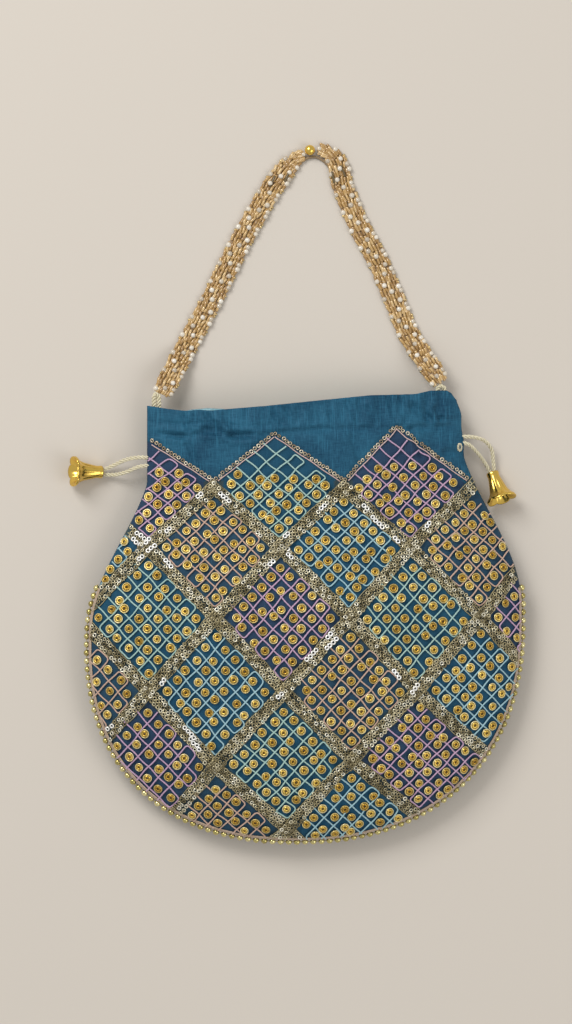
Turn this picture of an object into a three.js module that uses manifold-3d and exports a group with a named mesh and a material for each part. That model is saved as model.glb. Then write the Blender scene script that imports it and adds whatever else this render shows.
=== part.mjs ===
// A potli: a round drawstring evening bag of slub silk, embroidered in diamonds and lying on its back.
// Sizes are in millimetres. X runs to the bag's right seen from the front, Y up to the mouth and Z out of the front.
// The origin is on the flat of the back, under the middle of the belly.
import * as THREE from "three";
import { mergeVertices } from "three/addons/utils/BufferGeometryUtils.js";
import Module from "manifold-3d";

// Outline of the body, seen from the front
const BELLY_HALF_WIDTH = 108.5;
const BELLY_DROP = 104; // from the middle of the belly down to the bottom seam
const BELLY_FULLNESS = 2.28; // 2 is an ellipse, more is fuller at the lower corners
const BELLY_LEAN = 0.037; // the bottom hangs a little to the left
const NECK_HALF_WIDTH = 79.5;
const LEFT_SHOULDER_TOP = 74;
const LEFT_SHOULDER_FOOT = 0;
const RIGHT_SHOULDER_TOP = 88;
const RIGHT_SHOULDER_FOOT = 15;
const FRONT_MOUTH_HEIGHT = 117.2;
const FRONT_MOUTH_TILT = 0.049;
const BACK_MOUTH_HEIGHT = 116.9;
const BACK_MOUTH_TILT = 0.02;
const RIGHT_CORNER_DRAW = 4; // the mouth's right corner is pulled in by this much

// Fullness of the body, measured off the plane of the side seams
const SEAM_HEIGHT = 11;
const FRONT_DOME = 22;
const BACK_DOME = 14;
const NECK_DEPTH = 10.5;
const MOUTH_DEPTH = 9;
const DOME_ROUNDING = 0.62; // 0.5 is a ball's section, 1 is a flat cone's
const NECK_FOOT = 78; // height where the belly has become the neck

// Cloth
const PANEL_THICKNESS = 1;
const LINING_THICKNESS = 0.8;
const LINING_EASE = 1.2; // slack between the silk and the lining
const SEAM_GAP = 0.3;
const EDGE_LAP = 2; // how fast a layer's outline shrinks as it lies deeper
const PLEAT_PITCH = 12;
const PLEAT_DEPTH = 0.9;

// Casing of the draw cords, a channel between silk and lining
const CASING_FOOT = 81.5;
const CASING_TOP = 99.5;
const CASING_RAMP = 5.5;
const CORD_DIAMETER = 2.2;
const CORD_EASE = 0.9;
const EXIT_LENGTH = 8;
const EXIT_DEPTH = 11;
const LEFT_EXIT_HEIGHT = 85;
const RIGHT_EXIT_HEIGHT = 96;

// Embroidery on the front
const STITCH_GAP = 0.6; // clearance of the stitched work over the silk
const BAND_WIDTH = 7.2;
const BAND_THICKNESS = 0.8;
const BAND_STEP = 12;
const CROSSING_RAMP = 3.4;
const BORDER_WIDTH = 2.7; // the zigzag border along the top is one row of sequins
const CELLS = 6; // cells along a tile's side
const TILE_GAP = 0.5;
const THREAD_HEIGHT = 0.5;
const STUD_HEIGHT = 1.4;
const SEAM_MARGIN = 1.8; // bare silk between the embroidery and the seam

// Edge trim of ball beads on a thread
const TRIM_BEAD_DIAMETER = 2.6;
const TRIM_PITCH = 4.1;
const TRIM_THREAD_DIAMETER = 0.8;
const TRIM_TOP = 24;
const TRIM_GAP = 0.2;

// Handle: two beaded straps joined by one gold bead
const HANDLE_HEIGHT = 124.6; // from the middle of the mouth up to the crown
const CROWN_SHIFT = 2.7;
const CROWN_BEAD_DIAMETER = 5;
const STRAP_WIDTH = 12;
const STRAP_THICKNESS = 2.8;
const STRAP_CROWN_WIDTH = 6;
const STRAP_TAPER = 16; // length over which the strap narrows to the crown
const PEARL_PITCH = 9.5;
const STRAP_RAMP = 30; // length over which the strap comes down to the floor
const STRAP_END_GAP = 0.3;
const LOOP_CORD_DIAMETER = 1.8;
const LOOP_INSET = 9; // from the mouth's corner to the loop's outer leg
const LOOP_SPREAD = 4.2;
const LOOP_DEPTH = 5; // how far the legs go into the mouth
const LOOP_RISE = 5;
const LOOP_EASE = 1.5; // from the top of the loop to the strap it holds
const STRAP_FOOT_WIDTH = 7;
const STRAP_FOOT_TAPER = 5;

// Bells on the draw cords
const BELL_LENGTH = 15.5;
const BELL_NECK_DIAMETER = 6.6;
const BELL_WAIST_DIAMETER = 9.4;
const BELL_RIM_DIAMETER = 15.4;
const BELL_WALL = 0.7;
const BELL_HOLE_DIAMETER = 5.4;
const BELL_PETALS = 6;
const BELL_SCALLOP = 1.1;
const KNOT_DIAMETER = 5.4;
const KNOT_DEPTH = 4.2; // from the bell's neck end to the knot
const BELL_SIDES = 12;

const wasm = await Module();
wasm.setup();

const lerp = THREE.MathUtils.lerp;
const clamp = THREE.MathUtils.clamp;
const smooth = (value, from, to) => THREE.MathUtils.smoothstep(value, from, to);

// A row of points and where each lies across the row, from -1 to 1.
const row = (across, pointAt) => ({ across, points: across.map(pointAt) });

// Even steps from -1 to 1.
const evenSteps = (count) => Array.from({ length: count + 1 }, (_, i) => (2 * i) / count - 1);

// Steps from -1 to 1 that crowd towards the ends, where a dome curves most.
const endSteps = (count) => evenSteps(count).map((t) => Math.sin((t * Math.PI) / 2));

class SolidBuilder {
  positions = [];
  indices = [];

  add(point) {
    this.positions.push(point.x, point.y, point.z);
    return this.positions.length / 3 - 1;
  }

  addRow({ across, points }) {
    return { across, ids: points.map((p) => this.add(p)) };
  }

  triangle(a, b, c) {
    this.indices.push(a, b, c);
  }

  // Fills the strip between two rows that may differ in their number of points.
  stitch(a, b) {
    let i = 0;
    let j = 0;
    while (i < a.ids.length - 1 || j < b.ids.length - 1) {
      const rowBEnds = j === b.ids.length - 1;
      const stepA = rowBEnds || (i < a.ids.length - 1 && a.across[i + 1] <= b.across[j + 1]);
      if (stepA) {
        this.triangle(a.ids[i], a.ids[i + 1], b.ids[j]);
        i += 1;
      } else {
        this.triangle(a.ids[i], b.ids[j + 1], b.ids[j]);
        j += 1;
      }
    }
  }

  // The finished geometry, turned to face outwards.
  geometry() {
    const made = new THREE.BufferGeometry();
    made.setAttribute("position", new THREE.Float32BufferAttribute(this.positions, 3));
    made.setIndex(signedVolume(this.positions, this.indices) < 0 ? reversed(this.indices) : this.indices);
    return made;
  }
}

function signedVolume(positions, indices) {
  const corner = (i) => new THREE.Vector3().fromArray(positions, 3 * indices[i]);
  let sum = 0;
  for (let i = 0; i < indices.length; i += 3) {
    sum += corner(i).dot(corner(i + 1).cross(corner(i + 2))) / 6;
  }
  return sum;
}

function reversed(indices) {
  const turned = [];
  for (let i = 0; i < indices.length; i += 3) {
    turned.push(indices[i], indices[i + 2], indices[i + 1]);
  }
  return turned;
}

// A closed solid through rings of points, with a fan over each end.
function loftThrough(rings) {
  const solid = new SolidBuilder();
  const ids = rings.map((ring) => ring.map((p) => solid.add(p)));
  const sides = rings[0].length;
  for (let k = 0; k < ids.length - 1; k += 1) {
    for (let i = 0; i < sides; i += 1) {
      const next = (i + 1) % sides;
      solid.triangle(ids[k][i], ids[k][next], ids[k + 1][next]);
      solid.triangle(ids[k][i], ids[k + 1][next], ids[k + 1][i]);
    }
  }
  for (let i = 1; i < sides - 1; i += 1) {
    solid.triangle(ids[0][0], ids[0][i + 1], ids[0][i]);
    solid.triangle(ids.at(-1)[0], ids.at(-1)[i], ids.at(-1)[i + 1]);
  }
  return solid.geometry();
}

// Points of a curve and the frame there: ahead, aside in the plane of the floor, and up.
function frameOn(curve, distance) {
  const at = clamp(distance / curve.getLength(), 0, 1);
  const point = curve.getPointAt(at);
  const ahead = curve.getTangentAt(at);
  const aside = new THREE.Vector3(ahead.y, -ahead.x, 0).normalize();
  return { point, ahead, aside, up: new THREE.Vector3().crossVectors(aside, ahead) };
}

const toManifold = (geometry) => {
  const bare = geometry.clone();
  bare.deleteAttribute("normal");
  bare.deleteAttribute("uv");
  const merged = mergeVertices(bare, 1e-4);
  return new wasm.Manifold(
    new wasm.Mesh({
      numProp: 3,
      vertProperties: merged.attributes.position.array,
      triVerts: new Uint32Array(merged.index.array),
    }),
  );
};

const fromManifold = (solid) => {
  const mesh = solid.getMesh();
  const made = new THREE.BufferGeometry();
  made.setAttribute("position", new THREE.Float32BufferAttribute(mesh.vertProperties, 3));
  made.setIndex(Array.from(mesh.triVerts));
  return made;
};

// A tube of eight sides along hand-placed points.
function cordAlong(points, diameter, step) {
  const path = new THREE.CatmullRomCurve3(points.map(([x, y, z]) => new THREE.Vector3(x, y, z)));
  const section = new THREE.Shape();
  const sides = 8;
  for (let i = 0; i <= sides; i += 1) {
    const turn = (2 * Math.PI * i) / sides;
    const place = [(diameter / 2) * Math.cos(turn), (diameter / 2) * Math.sin(turn)];
    if (i === 0) section.moveTo(...place);
    else section.lineTo(...place);
  }
  const steps = Math.round(path.getLength() / step);
  return new THREE.ExtrudeGeometry(section, { steps, extrudePath: path, curveSegments: 1 });
}

// The body's outline and its skins

// How the outline swells from the neck, at 0, to the belly, at 1.
const shoulderSwell = (t) => (Math.sin((t * Math.PI) / 2) + smooth(t, 0, 1)) / 2;

// The side seam's place at a height, drawn in by an inset.
function edgeX(side, y, inset) {
  if (y < 0) {
    const fill = clamp(1 - (-y / (BELLY_DROP - inset)) ** BELLY_FULLNESS, 0, 1);
    return side * (BELLY_HALF_WIDTH - inset) * fill ** (1 / BELLY_FULLNESS) + BELLY_LEAN * y;
  }
  const top = side < 0 ? LEFT_SHOULDER_TOP : RIGHT_SHOULDER_TOP;
  const foot = side < 0 ? LEFT_SHOULDER_FOOT : RIGHT_SHOULDER_FOOT;
  const swell = shoulderSwell(clamp((top - y) / (top - foot), 0, 1));
  const corner = side > 0 ? RIGHT_CORNER_DRAW * smooth(y, CASING_TOP, FRONT_MOUTH_HEIGHT) : 0;
  return side * (lerp(NECK_HALF_WIDTH, BELLY_HALF_WIDTH, swell) - inset - corner);
}

// How far a skin stands off the seam plane on the bag's middle line.
function standOff(dome, y, depth) {
  const belly = dome - depth;
  const neck = NECK_DEPTH - depth;
  if (y < 0) {
    const fill = clamp(1 - (-y / (BELLY_DROP - EDGE_LAP * depth)) ** BELLY_FULLNESS, 0, 1);
    return belly * fill ** DOME_ROUNDING;
  }
  if (y < NECK_FOOT) return lerp(neck, belly, (1 + Math.cos((Math.PI * y) / NECK_FOOT)) / 2);
  return lerp(neck, MOUTH_DEPTH - depth, smooth(y, CASING_TOP, FRONT_MOUTH_HEIGHT));
}

// The height of a skin that lies a given depth under the silk's outer face.
function skinZ(face, x, y, depth) {
  const inset = EDGE_LAP * depth;
  const left = edgeX(-1, y, inset);
  const right = edgeX(1, y, inset);
  const across = clamp((2 * x - left - right) / (right - left), -1, 1);
  const dome = face > 0 ? FRONT_DOME : BACK_DOME;
  const rise = standOff(dome, y, depth) * (1 - across * across) ** DOME_ROUNDING;
  return Math.max(depth, SEAM_HEIGHT + face * (SEAM_GAP / 2 + rise));
}

const frontZ = (x, y) => skinZ(1, x, y, 0);

// The lining keeps its slack everywhere, and stands further in where the casing holds the cords.
function liningDepth(height) {
  const inCasing =
    smooth(height, CASING_FOOT - CASING_RAMP, CASING_FOOT) - smooth(height, CASING_TOP, CASING_TOP + CASING_RAMP);
  const cordRoom = CORD_DIAMETER + 2 * CORD_EASE;
  return PANEL_THICKNESS + lerp(LINING_EASE, cordRoom, inCasing);
}

// Heights of a skin's rows from the bottom seam up, as shares of the drop below the belly and in mm above it.
const FINE_LEVELS = { below: 8, above: [15, 30, 44, 56, 67, 76, 88, CASING_TOP] };
const SKIN_COLUMNS = 8;
const COARSE_LEVELS = { below: 6, above: [22, 44, 62, CASING_FOOT - CASING_RAMP, CASING_FOOT, CASING_TOP] };

// One skin as rows of points. Rows near the mouth tilt with it, and the header above the casing is gathered.
function skinRows(face, depthAt, levels, columns, gathered) {
  const mouthHeight = face > 0 ? FRONT_MOUTH_HEIGHT : BACK_MOUTH_HEIGHT;
  const mouthTilt = face > 0 ? FRONT_MOUTH_TILT : BACK_MOUTH_TILT;
  const drop = BELLY_DROP - EDGE_LAP * depthAt(-BELLY_DROP);
  const below = Array.from({ length: levels.below }, (_, i) => {
    return -drop * Math.cos((Math.PI * i) / (2 * levels.below));
  });
  const header = [CASING_TOP + CASING_RAMP, CASING_TOP + 1.6 * CASING_RAMP, mouthHeight];
  const heights = [...below, 0, ...levels.above, ...header];
  return heights.map((height, index) => {
    const tilt = mouthTilt * smooth(height, NECK_FOOT / 2, CASING_TOP);
    const inHeader = gathered && height > header[0];
    const pleats = Math.round((2 * NECK_HALF_WIDTH) / PLEAT_PITCH);
    const across = index === 0 ? [0] : inHeader ? evenSteps(2 * pleats) : endSteps(columns);
    const depth = depthAt(height);
    const endX = (side) => {
      const level = edgeX(side, height, EDGE_LAP * depth);
      return edgeX(side, height + tilt * level, EDGE_LAP * depth);
    };
    return row(across, (u, i) => {
      const x = lerp(endX(-1), endX(1), (u + 1) / 2);
      const y = height + tilt * x;
      const onEdge = index === 0 || Math.abs(u) > 0.999;
      const fold = inHeader && !onEdge && i % 2 === 1 ? PLEAT_DEPTH : 0;
      const z = onEdge ? SEAM_HEIGHT + (face * SEAM_GAP) / 2 : skinZ(face, x, y, depth);
      return new THREE.Vector3(x, y, Math.max(0, z + face * fold));
    });
  });
}

// A cloth layer: an outer and an inner skin joined along the side seams and the mouth.
function clothLayer(face, outerDepth, innerDepth, outer, inner) {
  const solid = new SolidBuilder();
  const outerRows = skinRows(face, outerDepth, outer.levels, outer.columns, outer.gathered);
  const innerRows = skinRows(face, innerDepth, inner.levels, inner.columns, false);
  const outside = outerRows.map((r) => solid.addRow(r));
  const inside = innerRows.map((r) => solid.addRow(r));
  for (let k = 0; k < outside.length - 1; k += 1) solid.stitch(outside[k], outside[k + 1]);
  for (let k = 0; k < inside.length - 1; k += 1) solid.stitch(inside[k + 1], inside[k]);
  solid.stitch(outside.at(-1), inside.at(-1));
  const first = (list) => list[0];
  const last = (list) => list.at(-1);
  const seam = (rows, added, pick) => ({
    across: rows.map((r) => pick(r.points).y),
    ids: added.map((r) => pick(r.ids)),
  });
  solid.stitch(seam(outerRows, outside, first), seam(innerRows, inside, first));
  solid.stitch(seam(innerRows, inside, last), seam(outerRows, outside, last));
  return solid.geometry();
}

// The slit in a side seam where a draw cord comes out.
function exitSlit(side, height) {
  const edge = edgeX(side, height, 0);
  const slit = new THREE.BoxGeometry(2 * EXIT_DEPTH, EXIT_LENGTH, CORD_DIAMETER + 2 * CORD_EASE - SEAM_GAP);
  return slit.translate(edge, height, SEAM_HEIGHT);
}

function silkPanel(face, levels, columns) {
  const cloth = clothLayer(
    face,
    () => 0,
    () => PANEL_THICKNESS,
    { levels, columns, gathered: true },
    { levels: COARSE_LEVELS, columns: SKIN_COLUMNS, gathered: false },
  );
  const slits = [exitSlit(-1, LEFT_EXIT_HEIGHT), exitSlit(1, RIGHT_EXIT_HEIGHT)];
  const cut = slits.reduce((solid, slit) => solid.subtract(toManifold(slit)), toManifold(cloth));
  return fromManifold(cut);
}

function liningPanel(face) {
  const layer = { levels: COARSE_LEVELS, columns: SKIN_COLUMNS, gathered: false };
  return clothLayer(face, liningDepth, (height) => liningDepth(height) + LINING_THICKNESS, layer, layer);
}

// Embroidery

// The crossings of the sequin bands, a row of them at each height, counted in half steps across.
const CROSSING_ROWS = [
  { height: 100.3, firstStep: -2, firstX: -0.7124, pitch: 0.5604, tilt: 0.06 },
  { height: 72.2, firstStep: -1, firstX: -0.4295, pitch: 0.5954, tilt: 0 },
  { height: 42.3, firstStep: -2, firstX: -0.7309, pitch: 0.5991, tilt: 0 },
  { height: 7.6, firstStep: -3, firstX: -1.0415, pitch: 0.612, tilt: 0 },
  { height: -28.7, firstStep: -2, firstX: -0.7309, pitch: 0.6129, tilt: 0 },
  { height: -63.8, firstStep: -1, firstX: -0.4286, pitch: 0.6221, tilt: 0.044 },
  { height: -96.5, firstStep: 0, firstX: -0.0922, pitch: 0.6083, tilt: 0.08 },
  { height: -130, firstStep: -1, firstX: -0.4055, pitch: 0.6083, tilt: 0 },
];

function crossing(line, step) {
  const { height, firstStep, firstX, pitch, tilt } = CROSSING_ROWS[line];
  const x = BELLY_HALF_WIDTH * (firstX + (pitch * (step - firstStep)) / 2);
  return new THREE.Vector2(x, height + tilt * x);
}

// Whether a place on the front is clear of the seam.
function onFront(place, margin) {
  if (place.y < margin - BELLY_DROP) return false;
  return place.x > edgeX(-1, place.y, margin) && place.x < edgeX(1, place.y, margin);
}

// A place past the seam's margin is drawn straight in towards the middle of the belly.
function drawnIn(place) {
  if (onFront(place, SEAM_MARGIN)) return place;
  let outer = 1;
  let inner = 0;
  for (let i = 0; i < 16; i += 1) {
    const half = (inner + outer) / 2;
    if (onFront(place.clone().multiplyScalar(half), SEAM_MARGIN)) inner = half;
    else outer = half;
  }
  return place.clone().multiplyScalar(inner);
}

function overSilk(place, height) {
  const { x, y } = drawnIn(place);
  return new THREE.Vector3(x, y, frontZ(x, y) + height);
}

// A line through stops with a straight run between each two.
class StopLine {
  constructor(stops) {
    this.stops = stops;
    this.marks = stops.map(() => 0);
    for (let i = 1; i < stops.length; i += 1) {
      this.marks[i] = this.marks[i - 1] + stops[i].distanceTo(stops[i - 1]);
    }
    this.total = this.marks.at(-1);
  }

  place(s) {
    let i = 1;
    while (i < this.marks.length - 1 && s > this.marks[i]) i += 1;
    const share = (s - this.marks[i - 1]) / (this.marks[i] - this.marks[i - 1]);
    return this.stops[i - 1].clone().lerp(this.stops[i], share);
  }

  // Across the line, to its right, on a mitre at the stops.
  aside(s) {
    const near = 0.05;
    const way = this.place(Math.min(s + near, this.total)).sub(this.place(Math.max(s - near, 0)));
    const turn = Math.min(1, way.length() / (2 * near));
    const mitre = s > near && s < this.total - near ? 1 / turn : 1;
    return new THREE.Vector2(way.y, -way.x).normalize().multiplyScalar(mitre);
  }
}

// A tape of sequins on the silk, flat underneath, between two distances along its line.
function sequinTape(line, width, start, end, marks, climbAt) {
  const stations = spreadStations([start, ...marks.filter((s) => s > start + 1 && s < end - 1), end]);
  const outline = [
    [-1, 0],
    [1, 0],
    [0.8, BAND_THICKNESS],
    [-0.8, BAND_THICKNESS],
  ];
  const rings = stations.map((s) => {
    const aside = line.aside(s).multiplyScalar(width / 2);
    const lift = STITCH_GAP + climbAt(s);
    return outline.map(([k, rise]) => overSilk(line.place(s).addScaledVector(aside, k), lift + rise));
  });
  return loftThrough(rings);
}

// The part of a line that is clear of the seam.
function clearOfSeam(line) {
  const inside = (s) => onFront(line.place(s), SEAM_MARGIN);
  const step = 0.25;
  let start = 0;
  while (start < line.total / 2 && !inside(start)) start += step;
  let end = line.total;
  while (end > line.total / 2 && !inside(end)) end -= step;
  return [start, end];
}

// A band of three rows of sequins. Rising bands climb over the falling ones at each crossing.
function sequinBand(stops, climbs) {
  const line = new StopLine(stops);
  const [start, end] = clearOfSeam(line);
  const flatReach = BAND_WIDTH / 2 + 2 * STITCH_GAP;
  const reach = flatReach + CROSSING_RAMP;
  const ramps = line.marks.flatMap((s) => [s - reach, s - flatReach, s + flatReach, s + reach]);
  const climbAt = (s) => {
    const near = Math.min(...line.marks.map((c) => Math.abs(s - c)));
    return (BAND_THICKNESS + STITCH_GAP) * (1 - clamp((near - flatReach) / CROSSING_RAMP, 0, 1));
  };
  return sequinTape(line, BAND_WIDTH, start, end, climbs ? ramps : line.marks, climbs ? climbAt : () => 0);
}

// The border along the top, from tip to tip over the points where the bands begin.
function zigzagBorder() {
  const stops = [-2, -1, 0, 1, 2, 3].map((step, i) => {
    return i % 2 === 0 ? crossing(0, step) : crossing(1, step).add(new THREE.Vector2(0, BAND_WIDTH / 2));
  });
  stops.push(stops.at(-1).clone().add(new THREE.Vector2(BAND_WIDTH, BAND_WIDTH)));
  const line = new StopLine(stops);
  const [start, end] = clearOfSeam(line);
  return sequinTape(line, BORDER_WIDTH, start, end, line.marks, () => 0);
}

// Stations with no step much longer than a band's usual one.
function spreadStations(marks) {
  return marks.flatMap((mark, i) => {
    if (i === 0) return [mark];
    const from = marks[i - 1];
    const parts = Math.max(1, Math.round((mark - from) / BAND_STEP));
    return Array.from({ length: parts }, (_, k) => lerp(from, mark, (k + 1) / parts));
  });
}

// A tile's net of threads with a stud in each cell. Cells whose middle would reach the seam are left out.
function tileLattice(line, step, bareRows) {
  const top = crossing(line, step);
  const right = crossing(line + 1, step + 1);
  const left = crossing(line + 1, step - 1);
  const bottom = crossing(line + 2, step);
  const span = (top.distanceTo(right) + left.distanceTo(bottom)) / 2;
  const inset = (BAND_WIDTH / 2 + TILE_GAP) / span;
  const topInset = line === 0 ? (BORDER_WIDTH / 2 + TILE_GAP) / span : inset;
  const share = (i) => lerp(topInset, 1 - inset, i / CELLS);
  const place = (i, j) => {
    const upper = top.clone().lerp(right, share(i));
    const lower = left.clone().lerp(bottom, share(i));
    return upper.lerp(lower, share(j));
  };
  const around = (i, j) => [
    [i, j],
    [i + 1, j],
    [i + 1, j + 1],
    [i, j + 1],
  ];
  const beside = (i, j) => [
    [i, j - 1],
    [i + 1, j],
    [i, j + 1],
    [i - 1, j],
  ];
  const key = (i, j) => `${i},${j}`;
  const cells = new Map();
  for (let i = 0; i < CELLS; i += 1) {
    for (let j = 0; j < CELLS; j += 1) {
      if (onFront(place(i + 0.5, j + 0.5), SEAM_MARGIN)) cells.set(key(i, j), [i, j]);
    }
  }
  const has = ([i, j]) => cells.has(key(i, j));
  for (const [name, [i, j]] of [...cells]) {
    if (!beside(i, j).some(has)) cells.delete(name);
  }
  const solid = new SolidBuilder();
  const netCorners = (height) => {
    const ids = new Map();
    return ([i, j]) => {
      if (!ids.has(key(i, j))) ids.set(key(i, j), solid.add(overSilk(place(i, j), height)));
      return ids.get(key(i, j));
    };
  };
  const upper = netCorners(STITCH_GAP + THREAD_HEIGHT);
  const lower = netCorners(STITCH_GAP);
  for (const [i, j] of cells.values()) {
    const up = around(i, j).map(upper);
    const down = around(i, j).map(lower);
    const middle = place(i + 0.5, j + 0.5);
    const bare = i + j < bareRows;
    const crown = solid.add(overSilk(middle, STITCH_GAP + (bare ? THREAD_HEIGHT / 2 : STUD_HEIGHT)));
    beside(i, j).forEach((neighbour, k) => {
      const next = (k + 1) % 4;
      solid.triangle(up[k], up[next], crown);
      if (has(neighbour)) return;
      solid.triangle(down[k], down[next], up[next]);
      solid.triangle(down[k], up[next], up[k]);
    });
    solid.triangle(down[0], down[2], down[1]);
    solid.triangle(down[0], down[3], down[2]);
  }
  return solid.geometry();
}

// Edge trim: ball beads threaded along the seam, their line just outside the silk.
function edgeTrim() {
  const clear = TRIM_BEAD_DIAMETER / 2 + TRIM_GAP;
  const count = 24;
  const points = [];
  for (let i = 0; i <= count; i += 1) points.push(trimPoint(-1, lerp(TRIM_TOP, 0, i / count), clear));
  const arc = 60;
  for (let i = 1; i < arc; i += 1) {
    const turn = Math.PI * (i / arc);
    const y = -(BELLY_DROP + clear) * Math.sin(turn);
    points.push(trimPoint(i < arc / 2 ? -1 : 1, y, clear));
  }
  for (let i = 0; i <= count; i += 1) points.push(trimPoint(1, lerp(0, TRIM_TOP, i / count), clear));
  const path = new THREE.CatmullRomCurve3(points, false, "centripetal");
  path.arcLengthDivisions = 1200;
  const beads = Math.round(path.getLength() / TRIM_PITCH);
  const rings = [];
  for (let i = 0; i <= 2 * beads; i += 1) {
    const { point, aside, up } = frameOn(path, (path.getLength() * i) / (2 * beads));
    const radius = (i % 2 === 1 ? TRIM_BEAD_DIAMETER : TRIM_THREAD_DIAMETER) / 2;
    rings.push(
      [0, 1, 2, 3].map((k) => {
        const turn = (Math.PI * k) / 2;
        return point
          .clone()
          .addScaledVector(aside, radius * Math.cos(turn))
          .addScaledVector(up, radius * Math.sin(turn));
      }),
    );
  }
  return loftThrough(rings);
}

const trimPoint = (side, y, clear) => new THREE.Vector3(edgeX(side, y, -clear), y, SEAM_HEIGHT);

// Handle

const mouthY = (x) => FRONT_MOUTH_HEIGHT + FRONT_MOUTH_TILT * x;
const crown = new THREE.Vector2(CROWN_SHIFT, FRONT_MOUTH_HEIGHT + HANDLE_HEIGHT);

// Where a loop stands in the mouth, its outer leg a set way in from the corner.
function loopPlace(side) {
  const outerX = edgeX(side, FRONT_MOUTH_HEIGHT, 0) - side * LOOP_INSET;
  const innerX = outerX - side * LOOP_SPREAD;
  return { outerX, innerX, mouth: mouthY(outerX) };
}

function strapFoot(side) {
  const { outerX, mouth } = loopPlace(side);
  return new THREE.Vector2(outerX, mouth + LOOP_RISE);
}

// A strap's line, as shares of the way from its foot to the crown and how far it bows outwards.
const LEFT_BOW = [
  [0.381, 0.028],
  [0.602, 0.0435],
  [0.789, 0.046],
  [0.861, 0.042],
  [0.929, 0.032],
  [0.971, 0.013],
];
const RIGHT_BOW = [
  [0.203, -0.0026],
  [0.36, 0.0137],
  [0.507, 0.027],
  [0.687, 0.0296],
  [0.768, 0.0394],
  [0.827, 0.0471],
  [0.881, 0.0653],
  [0.9245, 0.0703],
  [0.9816, 0.0415],
  [0.994, 0.0295],
];

function strapLine(side, bow) {
  const foot = strapFoot(side);
  const way = crown.clone().sub(foot);
  const out = new THREE.Vector2(side * way.y, side * -way.x);
  const reach = CROWN_BEAD_DIAMETER / 2 + STRAP_END_GAP;
  const flat = [foot];
  for (const [along, aside] of bow) {
    flat.push(foot.clone().addScaledVector(way, along).addScaledVector(out, aside));
  }
  const before = flat.at(-1);
  const last = crown.clone().addScaledVector(before.clone().sub(crown).normalize(), reach);
  if (before.distanceTo(crown) > reach + STRAP_THICKNESS) flat.push(last);
  return new THREE.CatmullRomCurve3(
    flat.map((p) => new THREE.Vector3(p.x, p.y, 0)),
    false,
    "centripetal",
  );
}

// A strap: three rows of pearls with bugles between, laid flat and narrowed at the crown.
function beadedStrap(side, bow) {
  const line = strapLine(side, bow);
  line.arcLengthDivisions = 400;
  const total = line.getLength();
  const rows = Math.round(total / PEARL_PITCH);
  const pearl = STRAP_THICKNESS;
  const acrossPearls = [
    [-1, 0.5],
    [-0.77, 1],
    [-0.38, 0.7],
    [0, 1],
    [0.38, 0.7],
    [0.77, 1],
    [1, 0.5],
    [0.77, 0],
    [-0.77, 0],
  ];
  const acrossBugles = [
    [-0.86, 0.45],
    [-0.7, 0.7],
    [-0.38, 0.85],
    [0, 0.65],
    [0.38, 0.85],
    [0.7, 0.7],
    [0.86, 0.45],
    [0.7, 0.2],
    [-0.7, 0.2],
  ];
  const rings = [];
  for (let i = 0; i <= 2 * rows; i += 1) {
    const s = (total * i) / (2 * rows);
    const { point, aside } = frameOn(line, s);
    const atCrown = lerp(STRAP_CROWN_WIDTH, STRAP_WIDTH, smooth(total - s, 0, STRAP_TAPER));
    const atFoot = lerp(STRAP_FOOT_WIDTH, STRAP_WIDTH, smooth(s, 0, STRAP_FOOT_TAPER));
    const half = Math.min(atCrown, atFoot) / 2;
    const lift = (SEAM_HEIGHT - pearl / 2) * (1 - smooth(s, 0, STRAP_RAMP));
    const outline = i % 2 === 0 ? acrossPearls : acrossBugles;
    rings.push(
      outline.map(([a, b]) => {
        const p = point.clone().addScaledVector(aside, a * half);
        return p.setZ(lift + b * pearl);
      }),
    );
  }
  return loftThrough(rings);
}

function handleLoop(side) {
  const { outerX, innerX } = loopPlace(side);
  const mid = (outerX + innerX) / 2;
  const deep = (x) => mouthY(x) - LOOP_DEPTH;
  const tip = strapFoot(side).y - LOOP_CORD_DIAMETER / 2 - LOOP_EASE;
  const shoulder = tip - LOOP_SPREAD / 2;
  const z = SEAM_HEIGHT;
  return cordAlong(
    [
      [outerX, deep(outerX), z],
      [outerX, (deep(outerX) + shoulder) / 2, z],
      [outerX, shoulder, z],
      [lerp(mid, outerX, 0.7), tip - 0.3 * (tip - shoulder), z],
      [mid, tip, z],
      [lerp(mid, innerX, 0.7), tip - 0.3 * (tip - shoulder), z],
      [innerX, shoulder, z],
      [innerX, (deep(innerX) + shoulder) / 2, z],
      [innerX, deep(innerX), z],
    ],
    LOOP_CORD_DIAMETER,
    2,
  );
}

// Bells, knots and draw cords

// Where each bell's neck end is, and which way the bell points. Both lie on the floor, on neck and rim.
const LEFT_BELL = { neck: [-101.8, 80, 3.6], ahead: [-0.96, 0.02, 0.28] };
const RIGHT_BELL = { neck: [94.8, 79.8, 3.6], ahead: [0.29, -0.92, 0.28] };

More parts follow.
